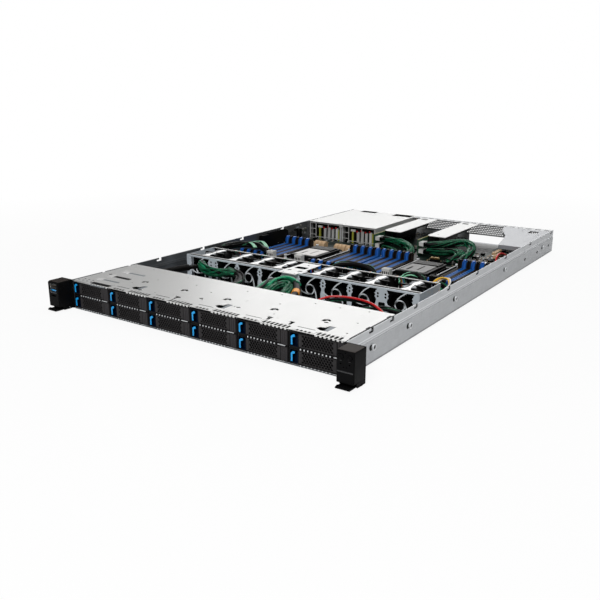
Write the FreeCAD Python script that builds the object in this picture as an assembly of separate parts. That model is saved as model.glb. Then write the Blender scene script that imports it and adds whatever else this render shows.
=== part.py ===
import FreeCAD, Part
import math
import os

os.makedirs("parts", exist_ok=True)
V = FreeCAD.Vector

# All lengths are in millimetres. X runs across the front, Y runs from the rack face of the
# ears to the rear, and Z runs up from the underside of the tray.

# Leads and looms: each follows a hand-chosen route held by its plugs, given by its corners
front_route = [(-178, 123, 31), (-182, 146, 31), (-166, 172, 32), (-132, 184, 32), (-96, 176, 32), (-66, 164, 32),
               (-42, 146, 31), (-38, 123, 31)]
arch_route = [(-2, 123, 31), (-12, 144, 32), (-18, 168, 33), (-4, 187, 34), (20, 182, 34), (42, 162, 33),
              (58, 144, 32), (62, 123, 31)]
red_route = [(84, 123, 31), (88, 136, 36), (108, 152, 38), (134, 160, 39), (160, 152, 38), (184, 138, 36), (194, 123, 31)]
left_route = [(-209.4, 408, 35.6), (-209.4, 376, 35.6), (-200, 354, 35.6), (-172, 340, 35.6), (-146, 330, 35.6),
              (-126.5, 321, 35.6)]
middle_route = [(0, 303, 13), (3, 307, 24), (14, 314, 33), (34, 318, 35), (54, 318, 35), (72, 314, 33), (82, 307, 24),
                (84, 303, 13)]
right_route = [(118, 302, 13), (121, 308, 24), (129, 317, 33), (142, 321, 35), (154, 316, 33), (161, 307, 24), (163, 300, 13)]
rear_red_route = [(203, 480, 13), (202, 487, 26), (198, 502, 34), (195, 524, 35), (198, 540, 32), (203, 549, 22), (204, 552, 13)]
yellow_route = [(176, 299, 13), (178, 301, 26), (186, 305, 34), (197, 304, 34), (205, 299, 25), (206, 297, 13)]
riser_one_route = [(-31.4, 548, 30), (-20, 548, 30), (4, 542, 29), (26, 532, 26), (40, 516, 22), (44, 500, 18), (44, 490, 13.5)]
riser_two_route = [(56.6, 548, 30), (68, 549, 30), (84, 566, 31), (98, 590, 31), (116, 595, 30), (130, 574, 27),
                   (136, 546, 22), (132, 522, 18), (131, 508, 13.5)]
riser_low_route = [(56.6, 546, 17), (68, 545, 17), (84, 544, 18), (100, 552, 20), (112, 560, 20), (121, 552, 19),
                   (121, 534, 17), (115, 520, 15), (112, 510, 13.5)]

front_leads = [(front_route, 6.5), (arch_route, 6.5), (red_route, 1.6)]
side_leads = [(left_route, 5.0), (middle_route, 5.0), (right_route, 5.0)]
thin_leads = [(rear_red_route, 1.6), (yellow_route, 3.6)]
riser_leads = [(riser_one_route, 4.5), (riser_two_route, 4.5), (riser_low_route, 4.5)]
board_leads = side_leads + thin_leads + riser_leads

# The chassis and its place in the rack
body_width = 438.0
body_depth = 754.0
rack_width = 482.0
wall_height = 41.2
sheet = 0.8
fit_gap = 0.3
slide_gap = 0.4
top_level = 40.6
joggle = 0.6
joggle_level = 27.5
edge_bevel = 1.4

# Hook slots for the lid, rail studs and rail slots, as distances behind the ears
hook_places = [51.0, 99.0, 161.0, 260.0, 363.0, 485.0, 612.0, 738.0]
hook_width = 5.0
hook_depth = 5.0
stud_places = [54.4, 144.2, 283.5, 485.3, 690.1]
stud_level = 19.4
stud_radius = 3.8
stud_length = 2.6
slot_places = [587.0, 657.0, 728.0]
slot_level = 16.0
slot_length = 9.0
slot_width = 4.6

# The ears
ear_depth = 23.5
ear_bottom = 6.0
ear_top = 41.0
ear_flange = 2.0
ear_bevel = 1.6
tab_reach = 5.0
tab_thickness = 1.8
tab_pivot_depth = 5.0
tab_pin_radius = 0.9
tab_pin_play = 0.4
cheek = 1.6
port_width = 13.0
port_height = 5.6
port_levels = [34.9, 27.6]
port_depth = 14.0
tongue_thickness = 1.8
button_radius = 3.0
button_proud = 0.7
button_length = 4.6
button_travel = 1.0
button_level = 34.2
button_spacing = 10.2
indicator_level = 26.8
indicator_radius = 0.9
ear_ridge_level = 18.5

# The drive bay
columns = 6
bay_half = 217.8
bay_front = 1.0
bay_depth = 112.0
divider = 0.6
carrier_height = 17.0
row_levels = [2.2, 21.4]
shelf = 0.6
bezel_depth = 8.0
bezel_wall = 0.9
recess_start = 2.0
recess_width = 9.4
lever_start = 11.9
lever_end = 60.3
lever_thickness = 3.0
lever_inset = 0.4
lever_strip = 3.6
lever_window_count = 3
lever_rib = 1.6
barrel_radius = 1.6
pin_radius = 0.6
pin_play = 0.5
block_start = 61.4
block_width = 8.4
drive_width = 69.85
drive_length = 100.2
drive_height = 15.0
rail_thickness = 0.55
connector_length = 2.4
backplane_gap = 0.6
plug_reach = 123.0
board_thickness = 1.6
tag_left = -184.8
tag_width = 34.0
tag_length = 60.0
tag_thickness = 0.6
lip_height = 1.9

# The fan bank
fans = 8
fan_size = 40.0
fan_length = 56.0
fan_offsets = [34.0, 77.0, 120.3, 174.7]
bank_centre = 0.6
bank_half = 201.0
bracket_front = 205.0
fan_front = 213.0
fan_bore = 18.9
round_sides = 12
opening_radius = 19.4
guard_radius = 7.6
guard_width = 1.5
guard_spoke = [(-6.2, 0.0), (9.0, 18.6)]
rotor_radius = 18.0
hub_radius = 8.6
hub_length = 20.0
blades = 5
blade_thickness = 0.9
blade_angle = 44.0
blade_chord = 17.0
strut_width = 9.0
strap_width = 13.0
strap_waist = 9.0
bridge_half = 15.0

# The motherboard and what stands on it
board_level = 6.0
board_front = 292.0
socket_centres = [-95.5, 108.0]
socket_depth_centre = 424.0
socket_frame = (78.0, 104.0, 5.0)
socket_plate = (53.0, 80.0, 2.2)
socket_plate_level = 17.8
plate_shift = -5.0
slot_pitch = 7.35
slot_body_width = 6.2
slot_front = 328.0
slot_run = 143.0
slot_body_height = 9.5
tower_height = 22.4
tower_depth = 8.0
module_slot_width = 1.6
group_slots = 8
memory_groups = [(-191.0, "blue"), (-51.0, "black"), (12.7, "blue"), (151.7, "black")]

# The power supplies
supply_width = 73.5
supply_height = 38.0
supply_length = 176.0
supply_gap = 1.2
cage_front = 576.0
cage_left = 217.8
handle_reach = 24.0
grille_columns = 3
shell = 0.8

# The risers, the rear panel and the plates at the rear
riser_lefts = [-46.0, 42.0]
riser_front = 570.0
riser_card_front = 536.0
riser_plate_width = 36.0
riser_plate_rear = 735.0
riser_card_rear = 712.0
riser_plug = 13.0
riser_plug_levels = [30.0, 17.0]
network_places = [145.0, 162.5]
network_size = (14.6, 12.4, 16.0)
serial_place = 196.0
serial_size = (26.0, 10.2, 12.0)
port_level = 15.4
port_wall = 0.8
slot_window_levels = (17.5, 37.0)
slot_window_width = 78.0
card_bay_left = 55.0
card_bay_right = 131.0
card_bay_top = 16.5
flange_depth = 18.0

half = body_width / 2
board_top = board_level + board_thickness
pitch = 2 * bay_half / columns
carrier_width = pitch - divider - 2 * slide_gap
carrier_front = 0.0
front_reach = ear_depth + tab_reach
rear_reach = body_depth + handle_reach
middle = (rear_reach - front_reach) / 2
fan_level = sheet + fan_size / 2
supply_bottom = sheet + fit_gap
supply_pitch = supply_width + 2 * supply_gap + shell
rear_inside = body_depth - sheet
wall_inside = half - joggle - sheet
cage_right = -cage_left + 2 * supply_pitch + shell
backplane_front = carrier_front + bezel_depth + 1 + drive_length + connector_length + backplane_gap
backplane_rear = backplane_front + board_thickness


def block(x0, x1, y0, y1, z0, z1):
    """Return a box between two corners."""
    return Part.makeBox(x1 - x0, y1 - y0, z1 - z0, V(x0, y0, z0))


def pushed(points, direction):
    """Return a flat outline pushed along a direction."""
    return Part.Face(Part.makePolygon(points + points[:1])).extrude(direction)


def facing(outline, y0, y1):
    """Return an outline drawn in X and Z, as deep as y0 to y1."""
    return pushed([V(x, y0, z) for x, z in outline], V(0, y1 - y0, 0))


def lying(outline, z0, z1):
    """Return an outline drawn in X and Y, as high as z0 to z1."""
    return pushed([V(x, y, z0) for x, y in outline], V(0, 0, z1 - z0))


def sideways(outline, x0, x1):
    """Return an outline drawn in Y and Z, as wide as x0 to x1."""
    return pushed([V(x0, y, z) for y, z in outline], V(x1 - x0, 0, 0))


def prism(centre, radius, y0, y1, sides=6, turn=0.0):
    """Return a many-sided bar along Y about a centre given in X and Z."""
    corners = []
    for i in range(sides):
        angle = math.radians(turn + 360.0 * i / sides)
        corners.append((centre[0] + radius * math.cos(angle), centre[1] + radius * math.sin(angle)))
    return facing(corners, y0, y1)


def post(x, y, radius, z0, z1, sides=6):
    """Return an upright many-sided post."""
    turns = [2 * math.pi * k / sides for k in range(sides)]
    return lying([(x + radius * math.cos(t), y + radius * math.sin(t)) for t in turns], z0, z1)


def bar(y, z, radius, x0, x1, sides=8):
    """Return a many-sided bar across the chassis."""
    turns = [2 * math.pi * (k + 0.5) / sides for k in range(sides)]
    return sideways([(y + radius * math.cos(t), z + radius * math.sin(t)) for t in turns], x0, x1)


def folded(line, thickness):
    """Return the closed outline of a sheet folded along a line, thick on the line's left."""
    inner = []
    last = len(line) - 1
    for i, point in enumerate(line):
        normals = []
        for a, b in ((i - 1, i), (i, i + 1)):
            if a >= 0 and b <= last:
                run = (line[b][0] - line[a][0], line[b][1] - line[a][1])
                size = math.hypot(*run)
                normals.append((-run[1] / size, run[0] / size))
        first, second = normals[0], normals[-1]
        share = thickness / (1 + first[0] * second[0] + first[1] * second[1])
        shift = ((first[0] + second[0]) * share, (first[1] + second[1]) * share)
        inner.append((point[0] + shift[0], point[1] + shift[1]))
    return line + inner[::-1]


def fused(shapes):
    """Return the shapes joined in one solid."""
    return shapes[0].fuse(shapes[1:]).removeSplitter()


def write(name, solids):
    """Move a piece to the middle of the whole and write it."""
    whole = Part.makeCompound(solids) if len(solids) > 1 else solids[0]
    whole = whole.copy()
    whole.translate(V(0, -middle, 0))
    whole.exportStep("parts/" + name + ".step")
    print(name, len(solids), "solids", round(whole.Volume), "mm3")


def column_left(column):
    """Return the left side of a drive carrier in its column."""
    return -bay_half + column * pitch + divider / 2 + slide_gap


def fan_place(fan):
    """Return a fan's middle across the chassis; the bank is alike on both sides of its middle."""
    offsets = [-x for x in fan_offsets[::-1]] + fan_offsets
    return bank_centre + offsets[fan]


# The tray: one folded sheet with walls that step inward, and its pressed-in hardware

def wall_line():
    """Return the outer line of the tray's section, from one wall's top to the other's."""
    left = [(-half + joggle, wall_height), (-half + joggle, joggle_level + joggle)]
    left += [(-half, joggle_level), (-half, edge_bevel), (-half + edge_bevel, 0.0)]
    return left + [(-x, z) for x, z in left[::-1]]


def hook_slots():
    """Return the slots for the lid's hooks, through both walls."""
    cuts = []
    for y in hook_places:
        low = wall_height - hook_depth
        cuts.append(block(-half - 1, half + 1, y, y + hook_width, low, wall_height + 1))
        cuts.append(block(-half - 1, half + 1, y - hook_width, y, low, low + hook_depth / 2))
    return cuts


def rail_slots():
    """Return the slots that the rail's screws pass, through both walls."""
    cuts = []
    for y in slot_places:
        reach = (slot_length - slot_width) / 2
        corner = slot_width / 4
        outline = [(y - reach - 2 * corner, slot_level), (y - reach, slot_level - slot_width / 2)]
        outline += [(y + reach, slot_level - slot_width / 2), (y + reach + 2 * corner, slot_level)]
        outline += [(y + reach, slot_level + slot_width / 2), (y - reach, slot_level + slot_width / 2)]
        cuts.append(sideways(outline, -half - 1, half + 1))
    return cuts


def standoffs():
    """Return the posts that carry the motherboard."""
    posts = []
    for x in (-205.0, -60.0, 70.0, 208.0):
        for y in (board_front + 8, slot_front + slot_run + 14):
            posts.append(post(x, y, 3.0, sheet / 2, board_level, 4))
    return posts


def chassis_base():
    """Return the folded tray."""
    tray = facing(folded(wall_line(), sheet), 0.0, body_depth)
    tray = tray.cut(hook_slots() + rail_slots())
    lip = block(-half + 1.5, half - 1.5, 0.0, sheet, sheet / 2, lip_height)
    return [fused([tray, lip] + standoffs())]


def rail_studs():
    """Return the studs pressed in both walls, which hang in the slide rails."""
    studs = []
    for y in stud_places:
        for x in (-half - stud_length, half):
            studs.append(Part.makeCylinder(stud_radius, stud_length, V(x, y, stud_level), V(1, 0, 0)))
    return studs


# The rear panel with its slot windows and perforated blanks

def slot_window(left):
    """Return the cut for one expansion slot."""
    low, high = slot_window_levels
    return block(left, left + slot_window_width, rear_inside - 1, body_depth + 1, low, high)


def slot_blank(left):
    """Return the perforated blank that closes one expansion slot."""
    low, high = slot_window_levels
    edge = 1.2
    plate = block(left - edge, left + slot_window_width + edge, rear_inside - 0.9, rear_inside, low - edge, high + edge)
    count = 4
    step = slot_window_width / count
    holes = []
    for i in range(count):
        x = left + step * (i + 0.5)
        holes.append(block(x - 7.5, x + 7.5, rear_inside - 2, body_depth, low + 2, high - 2))
    return plate.cut(holes)


def rear_plate(left, right, slot_count):
    """Return one of the folded plates that make up the rear wall, with its row of flange slots."""
    line = [(body_depth, sheet), (body_depth, top_level), (body_depth - flange_depth, top_level)]
    plate = sideways(folded(line, sheet), left, right)
    windows = [slot_window(x + 6) for x in riser_lefts]
    windows.append(block(card_bay_left, card_bay_right, rear_inside - 1, body_depth + 1, -1, card_bay_top))
    slots = []
    step = (right - left - 4) / slot_count
    for i in range(slot_count):
        x = left + 2 + step * (i + 0.5)
        slots.append(block(x - step * 0.36, x + step * 0.36, body_depth - 13, body_depth - 8, 38, 42))
    return plate.cut(windows + port_cuts() + slots)


def rear_panel():
    """Return the rear wall's three plates, the blanks screwed in it and the ports' shells."""
    first = riser_lefts[1] + 1.0
    second = card_bay_right + 3.4
    seam = fit_gap / 3
    plates = [rear_plate(cage_right + fit_gap, first - seam, 3), rear_plate(first + seam, second - seam, 3)]
    plates.append(rear_plate(second + seam, wall_inside - fit_gap, 2))
    return plates + [slot_blank(x + 6) for x in riser_lefts] + port_shells()


def ports():
    """Return each port at the rear right as its middle and size across, up and inward."""
    return [(x, network_size) for x in network_places] + [(serial_place, serial_size)]


def port_cuts():
    """Return the holes for the ports."""
    return [block(x - w / 2, x + w / 2, rear_inside - 1, body_depth + 1, port_level - h / 2, port_level + h / 2)
            for x, (w, h, d) in ports()]


def port_shells():
    """Return the metal shells of the ports, open to the rear."""
    shells = []
    for x, (w, h, d) in ports():
        side = w / 2 - fit_gap / 3
        tall = h / 2 - fit_gap / 3
        outer = block(x - side, x + side, body_depth - d, body_depth, port_level - tall, port_level + tall)
        side -= port_wall
        tall -= port_wall
        inner = block(x - side, x + side, body_depth - d + 2, body_depth + 1, port_level - tall, port_level + tall)
        shells.append(outer.cut(inner))
    return shells


# The drive bay: cover, cage, backplane, carriers and levers

def large_window(x, y):
    """Return a six-millimetre step-sided cut with a raised tab beside it."""
    return lying([(x, y), (x + 13, y), (x + 13, y + 14), (x + 7, y + 14), (x + 7, y + 5), (x, y + 5)],
                 top_level - 2, top_level + 1)


def drive_bay_cover():
    """Return the flat cover over the drives, folded down at the front, with its cut-outs."""
    cover_rear = bay_depth + 1.0
    line = [(bay_front, top_level - 1.5), (bay_front, top_level), (cover_rear, top_level)]
    flipped = [(y, z) for y, z in line[::-1]]
    side = bay_half - joggle - 0.2
    cover = sideways(folded(flipped, sheet), -side, side)
    cuts = []
    for column in (1, 3, 5):
        cuts.append(large_window(-bay_half + column * pitch + 25.0, 18.0))
    for column in range(1, columns):
        x = -bay_half + column * pitch + 14.0
        cuts.append(block(x, x + 7, 46, 51, top_level - 2, top_level + 1))
    for y in (24.0, 43.0, 68.0):
        cuts.append(block(-187, -155, y, y + 4, top_level - 2, top_level + 1))
    cuts.append(block(tag_left - 0.5, tag_left + tag_width + 0.5, 0, 4, top_level - 3, top_level - sheet))
    for column in range(columns):
        x = -bay_half + column * pitch + 30
        cuts.append(block(x, x + 36.0, 2.6, 5.4, top_level - 2, top_level + 1))
    return [cover.cut(cuts)]


def drive_cage():
    """Return the dividers between the columns and the shelf between the rows."""
    shelf_level = (row_levels[0] + carrier_height + row_levels[1]) / 2
    side = half - sheet
    pieces = [block(-side, side, bay_front + 1, bay_depth, shelf_level - shelf / 2, shelf_level + shelf / 2)]
    for boundary in range(1, columns):
        x = -bay_half + boundary * pitch
        top = top_level - sheet
        pieces.append(block(x - divider / 2, x + divider / 2, bay_front + 1, bay_depth, sheet, top))
    return [fused(pieces)]


def drive_backplane():
    """Return the upright board behind the drives and the plugs that its leads sit in."""
    side = wall_inside - 1.0
    board = block(-side, side, backplane_front, backplane_rear, sheet, top_level - 2.0)
    vents = []
    for column in range(columns):
        x = column_left(column) + 46
        vents.append(block(x, x + 22, backplane_front - 1, backplane_rear + 1, 5, 24))
    return [board.cut(vents)] + front_plugs()


def carrier_body(left, low):
    """Return the bezel with its ridged block and side rails, cut for the catch and the lever."""
    right = left + carrier_width
    high = low + carrier_height
    front = carrier_front
    rear = front + bezel_depth
    rail_rear = rear + drive_length - 2
    ridges = 3
    step = block_width / ridges
    outline = [(left, front), (left + block_start, front)]
    for i in range(ridges):
        outline.append((left + block_start + (i + 0.5) * step, front - 0.6))
        outline.append((left + block_start + (i + 1) * step, front))
    outline += [(right, front), (right, rail_rear), (right - rail_thickness, rail_rear), (right - rail_thickness, rear)]
    outline += [(left + rail_thickness, rear), (left + rail_thickness, rail_rear), (left, rail_rear)]
    frame = lying(outline, low, high)
    floor = low + bezel_wall
    roof = high - bezel_wall
    recess = block(left + recess_start, left + recess_start + recess_width, front - 1, front + 4.5, floor, roof)
    pocket = block(left + lever_start - fit_gap, left + block_start - 0.3, front - 1,
                   front + lever_inset + lever_thickness + 0.5, floor, roof)
    window = block(left + lever_start + lever_strip, left + lever_end - 5, front, rear + 1, floor, roof)
    return [frame.cut([recess, pocket, window])]


def pivot_place(left):
    """Return the lever's pivot, as places across and behind the carrier's front."""
    return left + lever_end - barrel_radius, carrier_front + lever_inset + lever_thickness / 2


def carrier_pin(left, low):
    """Return the upright pin that the lever swings on, held in the bezel's top and bottom."""
    x, y = pivot_place(left)
    return post(x, y, pin_radius, low + bezel_wall / 2, low + carrier_height - bezel_wall / 2, 4)


def catch(left, low):
    """Return the hooked catch that holds the lever shut."""
    x = left + 4.4
    z = low + bezel_wall + 0.4
    tall = carrier_height - 2 * bezel_wall - 0.8
    outline = [(x, z), (x + 2.6, z), (x + 2.6, z + tall - 3.4), (x + 5.4, z + tall - 1.9)]
    outline += [(x + 5.4, z + tall), (x + 2.2, z + tall), (x, z + tall - 2.4)]
    return facing(outline, carrier_front - 0.3, carrier_front + 4.5)


def drive(left, low):
    """Return the drive that the rails hold, with its connector."""
    x = left + (carrier_width - drive_width) / 2
    y = carrier_front + bezel_depth + 1
    z = low + 1.0
    body = block(x, x + drive_width, y, y + drive_length, z, z + drive_height)
    edge = block(x + 6, x + 42, y + drive_length, y + drive_length + connector_length, z + 1, z + 4.5)
    return fused([body, edge])


def drive_carrier(column, level):
    """Return one carrier: frame with its pin, catch and drive."""
    left = column_left(column)
    return [fused(carrier_body(left, level) + [carrier_pin(left, level)]), catch(left, level), drive(left, level)]


def lever(column, level):
    """Return one swing lever: a latticed grille that ends in a barrel round its pin."""
    left = column_left(column)
    front = carrier_front + lever_inset
    rear = front + lever_thickness
    low = level + bezel_wall + fit_gap
    high = level + carrier_height - bezel_wall - fit_gap
    x, y = pivot_place(left)
    plate = fused([block(left + lever_start, x, front, rear, low, high), post(x, y, barrel_radius, low, high, 8)])
    cuts = [post(x, y, pin_radius + pin_play, low - 1, high + 1, 4)]
    start = left + lever_start + lever_strip
    step = (x - barrel_radius - 1.0 - start) / lever_window_count
    centre = (low + high) / 2
    reach = (high - low) / 2 - lever_rib
    for i in range(lever_window_count):
        x0 = start + i * step
        x1 = x0 + step - lever_rib
        outline = [(x0, centre), (x0 + 2.4, centre - reach), (x1 - 2.4, centre - reach)]
        outline += [(x1, centre), (x1 - 2.4, centre + reach), (x0 + 2.4, centre + reach)]
        cuts.append(facing(outline, front - 1, rear + 1))
    return [plate.cut(cuts)]


def pull_out_tag():
    """Return the thin tag that slides out above the first carrier."""
    x = tag_left
    low = top_level - sheet - fit_gap - tag_thickness
    plate = block(x, x + tag_width, bay_front + 2, bay_front + 2 + tag_length, low, low + tag_thickness)
    grip = block(x + 2, x + tag_width - 2, bay_front - 1.4, bay_front + 2.5, low - 0.1, low + tag_thickness)
    return [fused([plate, grip])]


# The fan bank: stamped bracket, frames and rotors

def guard_opening(fan):
    """Return the cuts for one fan, which leave its finger guard: a ring on three swept spokes."""
    x = fan_place(fan)
    place = (x, fan_level)
    y0 = bracket_front - 1
    y1 = bracket_front + 3
    spokes = []
    for turn in (0, 120, 240):
        spoke = facing([(x + u, fan_level + w) for u, w in folded(guard_spoke, guard_width)], y0 - 1, y1 + 1)
        spoke.rotate(V(x, 0, fan_level), V(0, 1, 0), turn)
        spokes.append(spoke)
    ring = prism(place, guard_radius, y0 - 1, y1 + 1, 8)
    opening = prism(place, opening_radius, y0, y1, round_sides)
    return [opening.cut([ring] + spokes), prism(place, guard_radius - guard_width, y0, y1, 8)]


def strap(x, wide, waist, front, rear, low):
    """Return an hourglass strap over a fan."""
    run = rear - front
    outline = [(x - wide / 2, front), (x + wide / 2, front), (x + waist / 2, front + run * 0.45)]
    outline += [(x + waist / 2, front + run * 0.6), (x + wide / 2, rear), (x - wide / 2, rear)]
    outline += [(x - waist / 2, front + run * 0.6), (x - waist / 2, front + run * 0.45)]
    return lying(outline, low, low + sheet / 2)


def fan_bracket():
    """Return the stamped front wall with its top rail, posts, straps and centre bridge."""
    left = bank_centre - bank_half
    right = bank_centre + bank_half
    low = sheet + fan_size
    top = low + sheet / 2
    y = bracket_front
    section = folded([(y + 6, sheet), (y, sheet), (y, top), (y + 3.4, top)][::-1], sheet)
    wall = sideways(section, left, right)
    cuts = []
    for fan in range(fans):
        cuts += guard_opening(fan)
    wall = wall.cut(cuts)
    rear = fan_front + fan_length
    rails = [block(left, right, fan_front - 3.0, fan_front + 1.2, low, top), block(left, right, rear - 2, rear + 1, low, top)]
    straps = [strap(fan_place(fan), strap_width, strap_waist, fan_front, rear + 1, low) for fan in range(fans)]
    bridge = block(bank_centre - bridge_half, bank_centre + bridge_half, y - 9, rear - 6, low, top)
    ends = [block(x0, x1, y, rear + 1, sheet, top) for x0, x1 in ((left - sheet, left), (right, right + sheet))]
    return [fused([wall, bridge] + rails + straps + ends)]


def fan_frame(fan):
    """Return one fan's housing: the square duct, its bore and the bridge that holds the motor."""
    x = fan_place(fan)
    a = fan_size / 2
    rear = fan_front + fan_length
    low = fan_level - a
    bore = prism((x, fan_level), fan_bore, fan_front - 1, rear + 1, round_sides)
    housing = block(x - a, x + a, fan_front, rear, low, low + fan_size).cut(bore)
    strut_front = fan_front + 3.5 + hub_length + 0.5
    strut = block(x - a + 0.6, x + a - 0.6, strut_front, strut_front + 3, fan_level - strut_width / 2, fan_level + strut_width / 2)
    return fused([housing, strut])


def blade(x, turn):
    """Return one blade: a thin plate set across the air's path, run out from the hub."""
    front = fan_front + 3.5
    across = blade_chord * math.sin(math.radians(blade_angle)) / 2
    along = blade_chord * math.cos(math.radians(blade_angle))
    section = [(-across, front), (across, front + along)]
    section += [(u + blade_thickness, y) for u, y in section[::-1]]
    reach = math.sqrt(rotor_radius ** 2 - (across + blade_thickness) ** 2)
    wing = lying(section, hub_radius - 2.0, reach)
    wing.rotate(V(0, 0, 0), V(0, 1, 0), turn)
    wing.translate(V(x, 0, fan_level))
    return wing


def fan_rotor(fan):
    """Return one rotor: the motor's cup and its blades."""
    x = fan_place(fan)
    front = fan_front + 2.5
    cup = prism((x, fan_level), hub_radius, front, front + hub_length, 10)
    return [fused([cup] + [blade(x, 360.0 * i / blades) for i in range(blades)])]


# The motherboard, sockets and memory slots

def motherboard():
    """Return the board, cut round the supplies and the card bay."""
    side = wall_inside - 0.8
    rear = rear_inside - 2.5
    bay_start = 636.0
    outline = [(-side, board_front), (side, board_front), (side, rear), (card_bay_right + 4, rear),
               (card_bay_right + 4, bay_start), (card_bay_left - 5, bay_start), (card_bay_left - 5, rear),
               (cage_right + 2, rear), (cage_right + 2, cage_front - 4), (-side, cage_front - 4)]
    return [lying(outline, board_level, board_top)]


def tall_parts(grow=0.0):
    """Return the fans' connectors and the card on the left wall, which also hold a loom's ends."""
    blocks = []
    for x in (-120.0, -64.0, 95.0, 171.0):
        blocks.append(block(x - 6.5 - grow, x + 6.5 + grow, 316 - grow, 326 + grow, board_top, 36.5 + grow))
    blocks.append(block(-214.5 - grow, -208.5 + grow, 408 - grow, 494 + grow, board_top, 38.0 + grow))
    return blocks


def board_parts():
    """Return the blocks soldered to the board: connectors, coils, the wall-side card and the looms' plugs."""
    blocks = tall_parts()
    for x, y in ((-146.0, 511.0), (-98.0, 506.0), (-72.0, 504.0)):
        blocks.append(block(x - 12, x + 12, y - 7, y + 7, board_top, 25.0))
    for x, y, z in ((156.0, 628.0, 22.0), (168.0, 600.0, 24.0)):
        blocks.append(block(x - 3.5, x + 3.5, y - 17, y + 17, board_top, z))
    blocks.append(block(88, 104, 490, 496, board_top, 21.0))
    for x in (172.0, 184.0, 196.0):
        blocks.append(block(x - 4, x + 4, 520, 532, board_top, 16.0))
    return blocks + board_plugs()


def socket(x):
    """Return one processor socket: frame, body, cover plate, rails and corner posts."""
    w, d, h = socket_frame
    y = socket_depth_centre
    ring = block(x - w / 2, x + w / 2, y - d / 2, y + d / 2, board_top, board_top + h)
    ring = ring.cut(block(x - w / 2 + 9, x + w / 2 - 9, y - d / 2 + 10, y + d / 2 - 10, board_top - 1, board_top + h + 1))
    pw, pd, ph = socket_plate
    x0 = x + plate_shift - pw / 2
    x1 = x0 + pw
    y0 = y - pd / 2
    y1 = y + pd / 2
    body = block(x0 + 2, x1 - 1, y0, y1, board_top, socket_plate_level)
    plate = lying([(x0, y0), (x1 - 4, y0), (x1, y0 + 5), (x1, y1), (x0, y1)], socket_plate_level, socket_plate_level + ph)
    solids = [ring, body, plate]
    top = board_top + h
    for side in (-1, 1):
        mid = x + side * (w / 2 - 4.5)
        solids.append(block(mid - 1.4, mid + 1.4, y - d / 2 + 4, y + d / 2 - 4, top, top + 5))
        for end in (-1, 1):
            solids.append(post(mid, y + end * (d / 2 - 1.5), 2.3, top, top + 7, 4))
    return solids


def cpu_sockets():
    """Return both processor sockets."""
    return socket(socket_centres[0]) + socket(socket_centres[1])


def memory_slot(x):
    """Return one memory slot: a low grooved body between two latch towers."""
    rear = slot_front + slot_run
    body = board_top + slot_body_height
    tower = board_top + tower_height
    outline = [(slot_front, board_top), (rear, board_top), (rear, tower), (rear - tower_depth, tower - 1),
               (rear - tower_depth, body), (slot_front + tower_depth, body), (slot_front + tower_depth, tower - 1),
               (slot_front, tower)]
    solid = sideways(outline, x - slot_body_width / 2, x + slot_body_width / 2)
    groove = block(x - module_slot_width / 2, x + module_slot_width / 2, slot_front + tower_depth + 0.5,
                   rear - tower_depth - 0.5, body - 6, body + 1)
    return solid.cut(groove)


def memory_slots(colour):
    """Return every memory slot of one colour; the colours take turns across each group."""
    slots = []
    for left, first in memory_groups:
        start = 0 if first == colour else 1
        slots += [memory_slot(left + i * slot_pitch) for i in range(start, group_slots, 2)]
    return slots


# The power supplies and their cage

def supply_left(number):
    """Return the left side of a supply."""
    return -cage_left + supply_gap + number * supply_pitch


def psu_cage():
    """Return the folded cage with its divider, front tab and rear cut-outs."""
    top = top_level
    section = folded([(cage_right, sheet), (cage_right, top), (-wall_inside + fit_gap, top)], shell)
    lid = facing(section, cage_front, rear_inside)
    x = -cage_left + supply_pitch
    web = block(x - shell, x, cage_front, rear_inside, sheet, top - shell / 2)
    tab = block(x - 4, x + 4, cage_front - 0.8, cage_front, top - 6, top)
    cuts = [block(-190, -154, 736, 760, top - 2, top + 1), block(-110, -68, 730, 760, top - 2, top + 1)]
    return [fused([lid, web, tab]).cut(cuts)]


def supply(number):
    """Return one supply: open shell with a grilled front, parts inside, inlet and handle at the rear."""
    x0 = supply_left(number)
    x1 = x0 + supply_width
    y0 = body_depth - supply_length
    y1 = body_depth
    z0 = supply_bottom
    z1 = z0 + supply_height
    case = block(x0, x1, y0, y1, z0, z1)
    hollow = block(x0 + shell, x1 - shell, y0 + shell, y1 - 22, z0 + shell, z1 - shell)
    cuts = [hollow]
    step = (supply_width - 8) / grille_columns
    tall = (supply_height - 6) / 2
    for row in range(2):
        for i in range(grille_columns):
            x = x0 + 4 + i * step
            z = z0 + 3 + row * tall
            cuts.append(block(x + 1, x + step - 1, y0 - 1, y0 + shell + 1, z + 1, z + tall - 1))
    inlet_x = x0 + 20.0
    inlet_z = (z0 + z1) / 2
    cuts.append(block(inlet_x - 12.5, inlet_x + 12.5, y1 - 15, y1 + 1, inlet_z - 8.5, inlet_z + 8.5))
    fan_x = x1 - 20.0
    cuts.append(prism((fan_x, inlet_z), 15.0, y1 - 8, y1 + 1, 8))
    case = case.cut(cuts)
    guards = [block(fan_x - 15.5, fan_x + 15.5, y1 - 2, y1, inlet_z + dz - 0.8, inlet_z + dz + 0.8) for dz in (-5.0, 5.0)]
    handle_line = [(fan_x - 14, y1 - 0.5), (fan_x - 14, y1 + handle_reach), (fan_x + 12, y1 + handle_reach), (fan_x + 12, y1 - 0.5)]
    handle = lying(folded(handle_line[::-1], 3.0), z0 + 6, z0 + 14)
    latch = block(x1 - 6.5, x1 - 3.5, y1 - 0.5, y1 + 15, z0 + 18, z1 - 6)
    case = fused([case, handle, latch] + guards)
    inside = []
    for i in range(4):
        x = x0 + 11 + i * 16.5
        inside.append(post(x, y0 + 9, 5.0, z0 + shell, z0 + 26))
    inside.append(block(x0 + 5, x1 - 5, y0 + 22, y0 + 60, z0 + shell, z0 + 24))
    return [case] + inside


# The risers, the rear cover plate and the ears

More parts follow.
